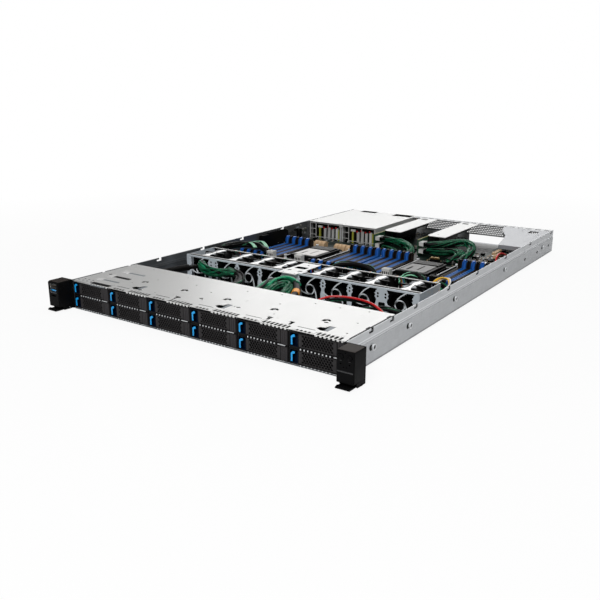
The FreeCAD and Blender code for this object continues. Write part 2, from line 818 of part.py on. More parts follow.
def riser(number):
    """Return one riser: bracket with its top plate and feet, and the upright card beside it."""
    x = riser_lefts[number]
    plate_left = x + board_thickness + 0.2
    right = plate_left + riser_plate_width
    outline = [(plate_left, riser_front + 6), (plate_left + 6, riser_front), (right, riser_front),
               (right, riser_plate_rear - 40), (right - 0.1, riser_plate_rear), (plate_left, riser_plate_rear)]
    plate = lying(outline, top_level - sheet, top_level)
    cuts = [block(plate_left + 6, plate_left + 19, riser_plate_rear - 16, riser_plate_rear - 5, top_level - 2, top_level + 1),
            post(plate_left + 14, riser_front + 20, 2.2, top_level - 2, top_level + 1)]
    plate = plate.cut(cuts)
    web = block(plate_left, plate_left + sheet, riser_front + 8, riser_card_rear, board_top + 0.3, top_level - sheet / 2)
    tail = block(plate_left, right, riser_plate_rear - sheet, riser_plate_rear, 38.0, top_level - sheet / 2)
    bracket = fused([plate, web, tail])
    card = sideways([(riser_card_front, 12.0), (riser_card_front + 6, board_top), (riser_card_rear, board_top),
                     (riser_card_rear, top_level - 2.5), (riser_card_front, top_level - 2.5)], x, x + board_thickness)
    socket_body = block(plate_left + sheet, plate_left + sheet + 7, 610, 700, 18, 30)
    return [bracket, card, socket_body] + riser_plugs(number)


def rear_cover():
    """Return the plate over the rear right corner, with its slanted side, folded edges and cut-out."""
    right = wall_inside - fit_gap
    rear = rear_inside - flange_depth
    outline = [(178.0, 566.0), (right, 566.0), (right, rear), (130.0, rear), (138.0, 703.0), (162.0, 650.0)]
    plate = lying(outline, top_level - sheet, top_level)
    plate = plate.cut(block(186, 202, 700, 722, top_level - 2, top_level + 1))
    skirt = block(178.0, right, 566.0, 566.0 + sheet, top_level - 7, top_level - sheet / 2)
    side = block(right - sheet, right, 566.0, rear, top_level - 12, top_level - sheet / 2)
    return [fused([plate, skirt, side])]


def ear_sides(side):
    """Return the two sides of an ear, across the chassis."""
    return sorted((side * (half + 1.0), side * rack_width / 2))


def ear_housing(side):
    """Return an ear: steel flange, moulded housing and the cheeks that hold its release tab."""
    x0, x1 = ear_sides(side)
    outline = [(-ear_flange, ear_bottom), (-ear_flange, ear_top), (-ear_depth + ear_bevel, ear_top),
               (-ear_depth, ear_top - ear_bevel), (-ear_depth, ear_bottom)]
    housing = sideways(outline, x0, x1)
    fronts = [e for e in housing.Edges if e.BoundBox.YMax < -ear_depth + 0.1 and e.BoundBox.ZLength > 5]
    housing = housing.makeChamfer(ear_bevel * 0.6, fronts)
    a, b = sorted((side * (half - sheet - 0.3), side * rack_width / 2))
    flange = block(a, b, -ear_flange, 0.0, 1.0, ear_top)
    step = sorted((side * (half - sheet - 1.0), side * (half + fit_gap / 3)))
    flange = flange.cut(block(step[0], step[1], -fit_gap / 3, 1.0, 0.0, ear_top + 1))
    cheeks = [block(x, x + cheek, -ear_depth + 6, -ear_flange / 2, 1.0, ear_bottom + 1) for x in (x0, x1 - cheek)]
    y, z = tab_pivot()
    holes = bar(y, z, tab_pin_radius + tab_pin_play, x0 - 1, x1 + 1)
    return fused([housing, flange] + cheeks).cut(holes)


def tab_pivot():
    """Return the place of a release tab's pivot, as depth and level."""
    return -ear_flange - tab_pivot_depth, 1.2 + tab_thickness / 2


def release_tab(side):
    """Return the ribbed tab under an ear, with its barrel and pin."""
    left, right = ear_sides(side)
    x0 = left + cheek + fit_gap
    x1 = right - cheek - fit_gap
    y, z = tab_pivot()
    thick = tab_thickness / 2
    outline = [(y, z - thick), (y, z + thick), (-ear_depth + 1, z + thick), (-ear_depth - 1.5, z + thick + 0.9),
               (-ear_depth - tab_reach, z + thick - 0.4), (-ear_depth - tab_reach, z - thick + 0.2),
               (-ear_depth + 1, z - thick)]
    pieces = [sideways(outline, x0, x1), bar(y, z, thick + 0.3, x0, x1)]
    pieces.append(bar(y, z, tab_pin_radius, x0 - cheek / 2, x1 + cheek / 2))
    ribs = 3
    for i in range(ribs):
        x = x0 + (i + 0.5) * (x1 - x0) / ribs
        pieces.append(block(x - 0.8, x + 0.8, -ear_depth - tab_reach + 0.4, -ear_depth - 1.6, z, z + thick + 0.3))
    return [fused(pieces)]


def left_ear():
    """Return the left ear with its two ports."""
    x0, x1 = ear_sides(-1)
    centre = (x0 + x1) / 2
    w = port_width / 2
    h = port_height / 2
    rear = -ear_depth + port_depth
    cuts = [block(centre - w, centre + w, -ear_depth - 1, rear, level - h, level + h) for level in port_levels]
    cuts.append(block(centre - 5, centre + 5, -ear_depth - 1, -ear_depth + 0.6, 20.5, 22.5))
    tongues = [block(centre - w + 0.8, centre + w - 0.8, -ear_depth + 1.5, rear, level + 0.2, level + 0.2 + tongue_thickness)
               for level in port_levels]
    return [ear_housing(-1).cut(cuts)] + tongues


def button_place(number):
    """Return a button's middle across the chassis."""
    x0, x1 = ear_sides(1)
    return (x0 + x1) / 2 + (number - 0.5) * button_spacing


def right_ear():
    """Return the right ear with its button wells, indicator holes and ridge."""
    x0, x1 = ear_sides(1)
    well = button_length - button_proud + button_travel + 0.4
    cuts = []
    for number in range(2):
        x = button_place(number)
        cuts.append(prism((x, button_level), button_radius + fit_gap, -ear_depth - 1, -ear_depth + well, 12))
        cuts.append(prism((x, indicator_level), indicator_radius, -ear_depth - 1, -ear_depth + 1.5))
    ridge = sideways([(-ear_depth + 0.5, ear_ridge_level - 0.8), (-ear_depth - 0.6, ear_ridge_level),
                      (-ear_depth + 0.5, ear_ridge_level + 0.8)], x0 + 1.5, x1 - 1.5)
    return [fused([ear_housing(1).cut(cuts), ridge])]


def button(number):
    """Return one push button of the right ear: a cap with a dished front."""
    place = (button_place(number), button_level)
    front = -ear_depth - button_proud
    cap = prism(place, button_radius, front, front + button_length, 12)
    return [cap.cut(prism(place, button_radius - 1.0, front - 1, front + 0.4, 12))]


# The plugs that hold the looms' ends, and the looms

def front_plugs(grow=0.0):
    """Return the plugs on the backplane."""
    plugs = []
    for route, radius in front_leads:
        for x, y, z in (route[0], route[-1]):
            side = radius + 3 + grow
            plugs.append(block(x - side, x + side, backplane_rear - grow, plug_reach + grow, z - 5 - grow, z + 5 + grow))
    return plugs


def board_plugs(grow=0.0):
    """Return the plugs on the motherboard, under the ends that come down to it."""
    plugs = []
    for route, radius in board_leads:
        for x, y, z in (route[0], route[-1]):
            side = radius * 1.4 + grow
            if z < 14:
                plugs.append(block(x - side, x + side, y - side, y + side, board_top, z + grow))
    return plugs


def riser_plugs(number, grow=0.0):
    """Return the two plugs on a riser's card."""
    face = riser_lefts[number] + board_thickness
    front = riser_card_front + 2
    return [block(face - grow, face + riser_plug + grow, front - grow, front + 20 + grow, z - 5 - grow, z + 5 + grow)
            for z in riser_plug_levels]


def holders():
    """Return everything that a loom's end may rest on, grown by the fitting gap."""
    g = fit_gap
    return front_plugs(g) + board_plugs(g) + riser_plugs(0, g) + riser_plugs(1, g) + tall_parts(g)


def in_plane(points):
    """Return a route's corners moved up or down to lie in the plane of its ends and its middle corner."""
    middle_point = points[len(points) // 2]
    normal = (middle_point - points[0]).cross(points[-1] - points[0]).normalize()
    flat = []
    for p in points:
        off = normal.dot(p - points[0])
        flat.append(V(p.x, p.y, p.z - off / normal.z))
    return flat, normal


def rounded(points):
    """Return a route with every corner replaced by two, so that it bends in flats along an arc."""
    line = [points[0]]
    for i in range(1, len(points) - 1):
        before = points[i] - points[i - 1]
        after = points[i + 1] - points[i]
        turn = before.getAngle(after)
        reach = 0.45 * min(before.Length, after.Length)
        flat = reach * (1 - math.tan(turn / 4) / math.tan(turn / 2))
        line.append(points[i] - before.normalize() * flat)
        line.append(points[i] + after.normalize() * flat)
    return line + [points[-1]]


def loom(route, radius):
    """Return a squared sleeve swept along a route, mitred where it bends."""
    points, normal = in_plane([V(*p) for p in route])
    line = rounded(points)
    side = radius * 0.9
    last = len(line) - 1
    rings = []
    for i, point in enumerate(line):
        a = (line[i] - line[i - 1]).normalize() if i else None
        b = (line[i + 1] - line[i]).normalize() if i < last else None
        a = a or b
        b = b or a
        across = normal.cross(a + b).normalize() * (side / math.cos(a.getAngle(b) / 2))
        rise = normal * side
        rings.append([point + across * s + rise * t for s, t in ((-1, -1), (1, -1), (1, 1), (-1, 1))])
    faces = [Part.Face(Part.makePolygon(ring + ring[:1])) for ring in (rings[0], rings[-1])]
    for first, second in zip(rings, rings[1:]):
        for k in range(4):
            n = (k + 1) % 4
            faces.append(Part.Face(Part.makePolygon([first[k], first[n], second[n], second[k], first[k]])))
    whole = Part.makeSolid(Part.makeShell(faces)).removeSplitter()
    return max(whole.cut(holders()).Solids, key=lambda solid: solid.Volume)


# The pieces, written one by one

write("chassis_base", chassis_base())
write("rail_studs", rail_studs())
write("rear_panel", rear_panel())
write("drive_bay_cover", drive_bay_cover())
write("drive_cage", drive_cage())
write("drive_backplane", drive_backplane())
for row, level in zip(("bottom", "top"), row_levels):
    for column in range(columns):
        write("carrier_%s_%d" % (row, column + 1), drive_carrier(column, level))
        write("lever_%s_%d" % (row, column + 1), lever(column, level))
write("pull_out_tag", pull_out_tag())
write("fan_bracket", fan_bracket())
write("fan_frames", [fan_frame(fan) for fan in range(fans)])
for fan in range(fans):
    write("fan_rotor_%d" % (fan + 1), fan_rotor(fan))
write("motherboard", motherboard())
write("board_parts", board_parts())
write("cpu_sockets", cpu_sockets())
write("memory_slots_blue", memory_slots("blue"))
write("memory_slots_black", memory_slots("black"))
write("psu_cage", psu_cage())
for number in range(2):
    write("psu_%d" % (number + 1), supply(number))
    write("riser_%d" % (number + 1), riser(number))
write("rear_cover", rear_cover())
write("ear_left", left_ear())
write("ear_right", right_ear())
write("release_tab_left", release_tab(-1))
write("release_tab_right", release_tab(1))
write("power_button", button(0))
write("id_button", button(1))
write("front_looms", [loom(route, radius) for route, radius in front_leads])
write("board_looms", [loom(route, radius) for route, radius in board_leads])
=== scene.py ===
# %% [markdown]
# # A low rack server, open on top
# This lesson dresses a finished CAD model. The CAD gives every piece its place, and here each
# piece that shows gets its real outline, edges and finish. A helper comes where it is first needed.

# %% The tools
import bpy
import math
import random
from mathutils import Matrix, Vector


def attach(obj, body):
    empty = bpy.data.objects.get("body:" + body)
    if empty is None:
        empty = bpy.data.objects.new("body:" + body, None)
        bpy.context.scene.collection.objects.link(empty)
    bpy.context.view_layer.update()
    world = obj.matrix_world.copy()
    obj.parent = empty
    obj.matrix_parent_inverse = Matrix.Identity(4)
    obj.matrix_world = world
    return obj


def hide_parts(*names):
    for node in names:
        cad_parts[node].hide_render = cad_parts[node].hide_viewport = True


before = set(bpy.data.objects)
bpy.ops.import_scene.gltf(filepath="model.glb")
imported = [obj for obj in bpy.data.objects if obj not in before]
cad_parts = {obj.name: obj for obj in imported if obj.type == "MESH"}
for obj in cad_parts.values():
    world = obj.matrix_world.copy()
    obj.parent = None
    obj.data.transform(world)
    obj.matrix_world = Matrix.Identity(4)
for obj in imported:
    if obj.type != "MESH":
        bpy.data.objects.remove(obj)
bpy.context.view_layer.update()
print("the frame has", len(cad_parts), "nodes")

# %% [markdown]
# ## One ruler for every piece
# The server is drawn in millimetres: x across the front, y back from the rack face, z up from the
# tray. The frame is in metres from the middle of the whole, so one function turns one into the other.
# Four measures come back often: how thick a sheet is, where the main board's face and the underside
# of the top plates lie, and the height that no strand of a loom passes.

# %% The ruler
MIDDLE = 374.75
SHEET = 0.8
BOARD_TOP = 7.6
ROOF = 39.75
HIGHEST = 40.9


def spot(x, y, z):
    """A drawing point in the frame's metres."""
    return Vector((x / 1000, (y - MIDDLE) / 1000, z / 1000))


print("the ears' back plane lies at y", round(spot(0, 0, 0).y, 4))

# %% [markdown]
# ## The camera and the room
# The photograph was taken from the front right, a little above the lid line. A camera is a matrix
# of three directions and a place, so it is built from its heading, its dip and its small roll. The
# focal length is known in the photograph's pixels, and the lens wants it for a film 36 mm wide.

# %% The camera
PHOTO_WIDTH, FOCAL, FILM_WIDTH = 600, 686.17, 36.0
STANDPOINT = (0.55384, -0.94322, 0.27931)
scene = bpy.context.scene
heading, dip, roll = math.radians(-34.72), math.radians(-16.41), math.radians(0.09)
ahead = Vector((math.sin(heading) * math.cos(dip), math.cos(heading) * math.cos(dip), math.sin(dip)))
level = Vector((math.cos(heading), -math.sin(heading), 0))
above = level.cross(ahead)
across = level * math.cos(roll) + above * math.sin(roll)
upward = above * math.cos(roll) - level * math.sin(roll)
lens = bpy.data.cameras.new("camera")
lens.sensor_width = FILM_WIDTH
lens.sensor_fit = "HORIZONTAL"
lens.lens = FOCAL / PHOTO_WIDTH * FILM_WIDTH
lens.clip_end = 20
camera = bpy.data.objects.new("camera", lens)
camera.matrix_world = Matrix.Translation(STANDPOINT) @ Matrix(
    (across, upward, -ahead)).transposed().to_4x4()
scene.collection.objects.link(camera)
scene.camera = camera
scene.view_settings.view_transform = "Standard"
print("the lens is", round(lens.lens, 2), "mm")

# %% [markdown]
# ## Wires between shader nodes
# A finish is a small sum: so much of one pattern, so much of another. Wrapping a socket in a class
# lets that sum be written as Python, and each sign adds the Math node that it stands for.

# %% The wire


class Wire:
    """What leaves a node's socket. Signs between wires and numbers add Math nodes."""

    def __init__(self, finish, socket):
        self.finish = finish
        self.socket = socket

    def math(self, operation, *values):
        return self.finish.node("ShaderNodeMath", {"operation": operation}, dict(enumerate(values)))

    def __add__(self, other):
        return self.math("ADD", self, other)

    def __sub__(self, other):
        return self.math("SUBTRACT", self, other)

    def __rsub__(self, other):
        return self.math("SUBTRACT", other, self)

    def __mul__(self, other):
        return self.math("MULTIPLY", self, other)

    def __gt__(self, other):
        return self.math("GREATER_THAN", self, other)

    def __lt__(self, other):
        return self.math("LESS_THAN", self, other)

    __radd__ = __add__
    __rmul__ = __mul__


print("wires can be added, taken away and compared")

# %% [markdown]
# ## A finish in the making
# The class holds one material and its nodes. Patterns start from the point on the piece, so they
# keep their real size, and the last call feeds the wires into the shader.

# %% The finish


class Finish:
    """A material being made: node() adds a node and returns the wire that leaves it."""

    def __init__(self, name):
        self.material = bpy.data.materials.new(name)
        self.material.use_nodes = True
        self.tree = self.material.node_tree
        self.shader = self.tree.nodes["Principled BSDF"]

    def node(self, kind, settings=None, sockets=None, output=0):
        made = self.tree.nodes.new(kind)
        for name, value in (settings or {}).items():
            if name == "stops":
                for element, (place, shade) in zip(made.color_ramp.elements, value):
                    element.position = place
                    element.color = (shade, shade, shade, 1)
            else:
                setattr(made, name, value)
        for name, value in (sockets or {}).items():
            self.feed(made.inputs[name], value)
        return Wire(self, made.outputs[output])

    def feed(self, socket, value):
        if isinstance(value, Wire):
            self.tree.links.new(value.socket, socket)
        else:
            socket.default_value = value

    def place(self, stretch=(1, 1, 1)):
        """The point on the piece, in metres, drawn out along each axis."""
        point = self.node("ShaderNodeTexCoord", output=3)
        return self.node("ShaderNodeVectorMath", {"operation": "MULTIPLY"}, {0: point, 1: stretch})

    def noise(self, scale, detail=3.0, stretch=(1, 1, 1)):
        sockets = {"Vector": self.place(stretch), "Scale": scale, "Detail": detail}
        return self.node("ShaderNodeTexNoise", None, sockets)

    def cells(self, scale, stretch=(1, 1, 1), output=0):
        sockets = {"Vector": self.place(stretch), "Scale": scale}
        return self.node("ShaderNodeTexVoronoi", None, sockets, output)

    def ramp(self, wire, low, high):
        """0 below low, 1 above high and a smooth way between."""
        stops = {"stops": [(low, 0.0), (high, 1.0)]}
        return self.node("ShaderNodeValToRGB", stops, {"Fac": wire})

    def math_band(self, wire, middle, half):
        """1 where the wire is within half of middle."""
        return (wire > middle - half) * (wire < middle + half)

    def mix(self, share, first, second):
        """first where share is 0, second where it is 1."""
        first, second = [c if isinstance(c, Wire) else (*c, 1) for c in (first, second)]
        return self.node("ShaderNodeMix", {"data_type": "RGBA"}, {0: share, 6: first, 7: second}, 2)

    def bump(self, height, strength, distance=0.0002):
        sockets = {"Height": height, "Strength": strength, "Distance": distance}
        return self.node("ShaderNodeBump", None, sockets)

    def surface(self, **sockets):
        for name, value in sockets.items():
            name = name.replace("_", " ").title().replace("Ior", "IOR")
            value = (*value, 1) if isinstance(value, tuple) and len(value) == 3 else value
            self.feed(self.shader.inputs[name], value)
        return self.material


print("finishes can be written as sums")

# %% [markdown]
# ## Zinc-coated sheet
# The tray and its plates are zinc-coated steel. The coat freezes in flat crystals a few millimetres
# wide, which barely differ in grey, and handling leaves faint streaks. Cells give the crystals, and
# noise drawn out along one axis gives the streaks.

# %% The sheet steels


def zinc(name, colour, roughness, metallic=0.85, crystals=0.05, streak=(40, 4, 40)):
    """Sheet steel under zinc: crystals, streaks and a fine tooth."""
    f = Finish(name)
    crystal = f.cells(170, output=1)
    grey = f.node("ShaderNodeRGBToBW", None, {0: crystal})
    streaks = f.noise(9, 4, streak)
    share = grey * crystals + streaks * (crystals * 2.2)
    darker = tuple(c * 0.80 for c in colour)
    lighter = tuple(min(1.0, c * 1.08) for c in colour)
    tone = f.mix(share + (0.5 - crystals * 1.6), darker, lighter)
    rough = streaks * 0.16 + (roughness - 0.08)
    tooth = f.bump(f.noise(2600, 2), 0.05)
    return f.surface(base_color=tone, roughness=rough, metallic=metallic, normal=tooth)


def tray_steel():
    """Zinc on the tray, with painted light: highlight lines at the joggle, a lighter upper strip on the
    walls, and painted shade below 3.2 mm and on the inner face of the left wall.
    """
    f = Finish("tray steel")
    crystal = f.node("ShaderNodeRGBToBW", None, {0: f.cells(95, output=1)})
    streaks = f.noise(11, 5, (40, 4, 40))
    height = f.node("ShaderNodeSeparateXYZ", None, {0: f.place()}, 2)
    # Painted highlights at the joggle and on the walls' upper strip, and painted shade below 3.2 mm.
    fold_highlight = f.math_band(height, 0.0283, 0.0009) + f.math_band(height, 0.0316, 0.0007) * 0.8
    foot_shade = (height < 0.0032) * 0.55
    upper_band_light = (height > 0.0300) * 0.22
    share = crystal * 0.10 + streaks * 0.26 + 0.22 + fold_highlight * 0.6 + upper_band_light - foot_shade
    tone = f.mix(f.node("ShaderNodeClamp", None, {0: share}), (0.30, 0.31, 0.325), (0.83, 0.85, 0.87))
    across = f.node("ShaderNodeSeparateXYZ", None, {0: f.place()}, 0)
    # Painted shade: the inner face of the left wall is darkened almost to black.
    inner = (across > -0.2187) * (across < -0.2120) * (height > 0.004) * (height < 0.0408)
    tone = f.mix(inner * 0.76, tone, (0.045, 0.052, 0.058))
    return f.surface(base_color=tone, roughness=streaks * 0.16 + 0.28, metallic=0.7,
                     normal=f.bump(f.noise(2600, 2), 0.05))


TRAY_STEEL = tray_steel()
COVER_STEEL = zinc("cover steel", (0.80, 0.80, 0.79), 0.40, 0.45, 0.025)
BRIGHT_STEEL = zinc("bright steel", (0.84, 0.86, 0.88), 0.30, 0.35, 0.03)
SHADOW_STEEL = zinc("shaded steel", (0.16, 0.17, 0.19), 0.45, 0.5)
NICKEL = zinc("nickel plate", (0.60, 0.59, 0.57), 0.33, 0.9, 0.04, (4, 60, 4))
POST_STEEL = zinc("post steel", (0.74, 0.81, 0.87), 0.34, 0.2, 0.06)
GUARD_STEEL = zinc("guard steel", (0.84, 0.89, 0.92), 0.30, 0.1, 0.02)
GREY_STEEL = zinc("grey sheet", (0.62, 0.63, 0.64), 0.40, 0.5, 0.03)
CORNER_STEEL = zinc("corner sheet", (0.50, 0.51, 0.53), 0.42, 0.5, 0.03)
# A half-shaded copy of the grey sheet, for painted shade.
HALF_SHADED_STEEL = zinc("half-shaded sheet", (0.34, 0.35, 0.36), 0.42, 0.4, 0.03)
print("ten steels")

# %% [markdown]
# ## Moulded plastics
# Moulded parts have one colour all through, a fine spark-eroded texture and slightly worn, smoother
# patches. The colour drifts by a few percent only, and the roughness does most of the work.

# %% The plastics


def moulded(name, colour, roughness=0.5, texture=0.12, gloss=0.35, coat=0.0):
    """Moulded plastic with a fine texture."""
    f = Finish(name)
    drift = f.noise(35, 2)
    tone = f.mix(drift, tuple(c * 0.82 for c in colour), tuple(min(1.0, c * 1.18) for c in colour))
    grain = f.noise(3200, 2)
    rough = drift * 0.14 + (roughness - 0.07)
    return f.surface(base_color=tone, roughness=rough, normal=f.bump(grain, texture, 0.0001),
                     specular_ior_level=gloss, coat_weight=coat)


EAR_BLACK = moulded("ear black", (0.0034, 0.0034, 0.0037), 0.46, 0.2, 0.06)
EAR_BROWN = moulded("ear top brown", (0.024, 0.018, 0.015), 0.6, 0.2, 0.3)
FAN_BLACK = moulded("fan black", (0.0012, 0.0012, 0.0012), 0.36, 0.05, 0.10)
LEVER_GREY = moulded("lever charcoal", (0.009, 0.0085, 0.009), 0.5, 0.15, 0.12)
GRILLE_GREY = moulded("grille charcoal", (0.032, 0.030, 0.031), 0.45, 0.1, 0.16)
BLOCK_GREY = moulded("grip charcoal", (0.034, 0.031, 0.033), 0.5, 0.15, 0.25)
CATCH_BLUE = moulded("catch blue", (0.010, 0.390, 0.960), 0.35, 0.05, 0.5)
# A dark blue that stands for the blue plastic in painted shade.
SHADED_BLUE = moulded("shaded blue recess", (0.001, 0.005, 0.018), 0.4, 0.05, 0.1)
SLOT_BLUE = moulded("slot blue", (0.014, 0.115, 0.400), 0.45, 0.05, 0.12)
TOWER_TOP = moulded("tower top blue", (0.030, 0.150, 0.560), 0.34, 0.05, 0.25)
SLOT_BLACK = moulded("slot black", (0.020, 0.013, 0.009), 0.5, 0.1, 0.10)
TOWER_BLACK = moulded("tower black", (0.006, 0.0045, 0.0035), 0.5, 0.1, 0.12)
BEIGE = moulded("coil beige", (0.560, 0.380, 0.220), 0.55, 0.1, 0.3)
PALE = moulded("pale nylon", (0.680, 0.680, 0.660), 0.42, 0.06, 0.4)
PLAIN_GREY = moulded("painted grey", (0.230, 0.250, 0.270), 0.4, 0.05, 0.4)
WHITE_STRAP = moulded("strap white", (0.800, 0.800, 0.790), 0.22, 0.03, 0.5, 0.4)
CHIP_BLACK = moulded("chip black", (0.0026, 0.0026, 0.0028), 0.42, 0.08, 0.14)
ORANGE = moulded("clip orange", (0.850, 0.330, 0.030), 0.4, 0.05, 0.4)
RED = moulded("red jacket", (0.560, 0.012, 0.014), 0.3, 0.04, 0.5)
YELLOW = moulded("yellow jacket", (0.830, 0.480, 0.030), 0.32, 0.04, 0.5)
LIME = moulded("lime tape", (0.420, 0.430, 0.060), 0.4, 0.05, 0.3)
WIRE_WHITE = moulded("white jacket", (0.750, 0.740, 0.700), 0.32, 0.04, 0.5)
WIRE_BLUE = moulded("blue jacket", (0.030, 0.120, 0.500), 0.32, 0.04, 0.5)
WIRE_GREEN = moulded("green jacket", (0.020, 0.330, 0.130), 0.28, 0.04, 0.5)
print("twenty-four plastics")

# %% [markdown]
# ## The circuit board
# A board is dark solder mask over copper tracks. Tracks run in straight bundles, and round pads are
# tinned. Bricks of two sizes draw the tracks, and cells with a threshold draw the pads.

# %% The boards


def board_finish(name, mask, track):
    """Solder mask over tracks, with tinned pads."""
    f = Finish(name)
    sockets = {"Vector": f.place(), "Scale": 260.0, "Mortar Size": 0.028, "Mortar Smooth": 0.1,
               "Brick Width": 1.7, "Row Height": 0.30}
    fine = f.node("ShaderNodeTexBrick", None, sockets, 1)
    sockets = {"Vector": f.place((1, 1, 0)), "Scale": 48.0, "Mortar Size": 0.06, "Brick Width": 0.9}
    wide = f.node("ShaderNodeTexBrick", None, sockets, 1)
    tracks = f.mix(fine * (wide * 0.5 + 0.25), mask, track)
    dots = f.cells(330, stretch=(1, 1, 0.02)) < 0.16
    spread = f.noise(60, 2) > 0.52
    tinned = dots * spread
    tone = f.mix(tinned, tracks, (0.52, 0.52, 0.48))
    return f.surface(base_color=tone, roughness=0.42 - tinned * 0.14, metallic=tinned * 0.9,
                     specular_ior_level=0.35, normal=f.bump(fine, 0.2, 0.00004))


BOARD = board_finish("main board", (0.004, 0.011, 0.008), (0.012, 0.034, 0.022))
CARD_GREEN = board_finish("card green", (0.008, 0.060, 0.026), (0.020, 0.120, 0.055))
BOARD_EDGE = moulded("board edge", (0.42, 0.40, 0.16), 0.6, 0.1, 0.3)
GOLD = zinc("gold contact", (0.80, 0.56, 0.22), 0.28, 1.0, 0.02)
print("two boards and their contacts")

# %% [markdown]
# ## Stock for making pieces
# A piece is a list of points and faces. The stock below collects them in millimetres, so that one
# piece can hold a hundred small forms. Each face carries a kind, which is the place of its finish
# in the list that the piece is given at the end.

# %% The stock
RIGHT, BACK, UP = (1, 0, 0), (0, 1, 0), (0, 0, 1)


class Stock:
    """Collects the points and faces of one piece, in drawing millimetres."""

    def __init__(self):
        self.points = []
        self.faces = []
        self.kinds = []

    def add(self, points, faces, kind=0):
        start = len(self.points)
        self.points += [tuple(p) for p in points]
        self.faces += [tuple(start + i for i in face) for face in faces]
        self.kinds += [kind] * len(faces)
        return self

    def box(self, x0, x1, y0, y1, z0, z1, kind=0):
        points = [(x, y, z) for z in (z0, z1) for y in (y0, y1) for x in (x0, x1)]
        faces = [(0, 2, 3, 1), (4, 5, 7, 6), (0, 1, 5, 4), (2, 6, 7, 3), (0, 4, 6, 2), (1, 3, 7, 5)]
        return self.add(points, faces, kind)

    def skin(self, loops, kind=0):
        """A surface through closed loops of points, with flat ends."""
        n = len(loops[0])
        points = [p for loop in loops for p in loop]
        faces = [(r * n + i, r * n + (i + 1) % n, (r + 1) * n + (i + 1) % n, (r + 1) * n + i)
                 for r in range(len(loops) - 1) for i in range(n)]
        faces += [tuple(range(n))[::-1], tuple(len(points) - n + i for i in range(n))]
        return self.add(points, faces, kind)

    def turned(self, centre, axis, profile, kind=0, sides=20):
        """A turned form: profile gives places along the axis and radii."""
        along = Vector(axis).normalized()
        side = along.orthogonal().normalized()
        other = along.cross(side)
        turns = [2 * math.pi * i / sides for i in range(sides)]
        loops = [[Vector(centre) + along * place + (side * math.cos(t) + other * math.sin(t)) * radius
                  for t in turns] for place, radius in profile]
        return self.skin(loops, kind)

    def copies(self, other, shifts=((0, 0, 0),)):
        """Repeat another stock at each shift."""
        for shift in shifts:
            start = len(self.points)
            self.points += [tuple(Vector(p) + Vector(shift)) for p in other.points]
            self.faces += [tuple(start + i for i in face) for face in other.faces]
            self.kinds += other.kinds
        return self

    def mesh(self, name, finishes):
        """One mesh of all that was collected. Its faces know their finishes by number."""
        mesh = bpy.data.meshes.new(name)
        mesh.from_pydata([Vector(p) / 1000 for p in self.points], [], self.faces)
        for finish in finishes:
            mesh.materials.append(finish)
        mesh.polygons.foreach_set("material_index", self.kinds)
        mesh.validate()
        return mesh

    def piece(self, name, body, finishes, replaces=(), soft=0.0, smooth=35):
        """Make the object, round its edges by soft millimetres and let it ride on its body."""
        return placed(name, self.mesh(name, finishes), body, replaces, soft, smooth=smooth)


def placed(name, mesh, body, replaces=(), soft=0.0, at=(0, 0, 0), smooth=35):
    """An object of a mesh, with the mesh's own zero at a drawing point."""
    obj = bpy.data.objects.new(name, mesh)
    obj.location = spot(*at)
    scene.collection.objects.link(obj)
    mesh.shade_smooth()
    mesh.set_sharp_from_angle(angle=math.radians(smooth))
    if soft:
        edges = obj.modifiers.new("soft edges", "BEVEL")
        edges.width = soft / 1000
        edges.segments = 2
        edges.limit_method = "ANGLE"
        edges.angle_limit = math.radians(40)
        edges.harden_normals = True
    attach(obj, body)
    if replaces:
        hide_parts(*replaces)
    return obj


print("the stock is ready")

# %% [markdown]
# ## Stamping sheet
# Most of this machine is stamped sheet: an outline with many holes. A flat curve with its holes as
# further closed curves fills itself, gets its thickness by extrusion, and becomes a mesh. A plate
# can lie flat, face the front or stand along the machine, and each way has its own function.

# %% The press


def stamped(outline, holes, thickness, edge=0.0):
    """Points and faces of a stamped plate, flat in its own u and v, thick along w from 0."""
    curve = bpy.data.curves.new("blank", "CURVE")
    curve.dimensions = "2D"
    curve.fill_mode = "BOTH"
    curve.extrude = thickness / 2 - edge
    curve.bevel_depth = edge
    curve.bevel_resolution = 0
    curve.offset = -edge
    for loop in [outline] + holes:
        spline = curve.splines.new("POLY")
        spline.points.add(len(loop) - 1)
        for point, (u, v) in zip(spline.points, loop):
            point.co = (u, v, 0, 1)
        spline.use_cyclic_u = True
    blank = bpy.data.objects.new("blank", curve)
    scene.collection.objects.link(blank)
    mesh = bpy.data.meshes.new_from_object(blank)
    points = [(v.co.x, v.co.y, v.co.z + thickness / 2) for v in mesh.vertices]
    faces = [tuple(p.vertices) for p in mesh.polygons]
    bpy.data.objects.remove(blank)
    bpy.data.curves.remove(curve)
    bpy.data.meshes.remove(mesh)
    return points, faces


def lying(stock, z, outline, holes, thickness, edge=None, kind=0):
    """Add a plate that lies flat from z up: u across, v back. A thin one has thin edges."""
    edge = min(0.1, thickness / 5) if edge is None else edge
    points, faces = stamped(outline, holes, thickness, edge)
    return stock.add([(u, v, w + z) for u, v, w in points], faces, kind)


def facing(stock, y, outline, holes, thickness, edge, kind=0):
    """Add a plate that faces the front, from y back: u across, v up."""
    points, faces = stamped(outline, holes, thickness, edge)
    return stock.add([(u, w + y, v) for u, v, w in points], faces, kind)


def sideways(stock, x, outline, holes, thickness, edge, kind=0):
    """Add a plate that stands along the machine, from x on: u back, v up."""
    points, faces = stamped(outline, holes, thickness, edge)
    return stock.add([(w + x, u, v) for u, v, w in points], faces, kind)


def oblong(u0, u1, v0, v1):
    return [(u0, v0), (u1, v0), (u1, v1), (u0, v1)]


def disc(u, v, radius, sides=24, turn=0.0):
    turns = [math.radians(turn) + 2 * math.pi * i / sides for i in range(sides)]
    return [(u + radius * math.cos(t), v + radius * math.sin(t)) for t in turns]


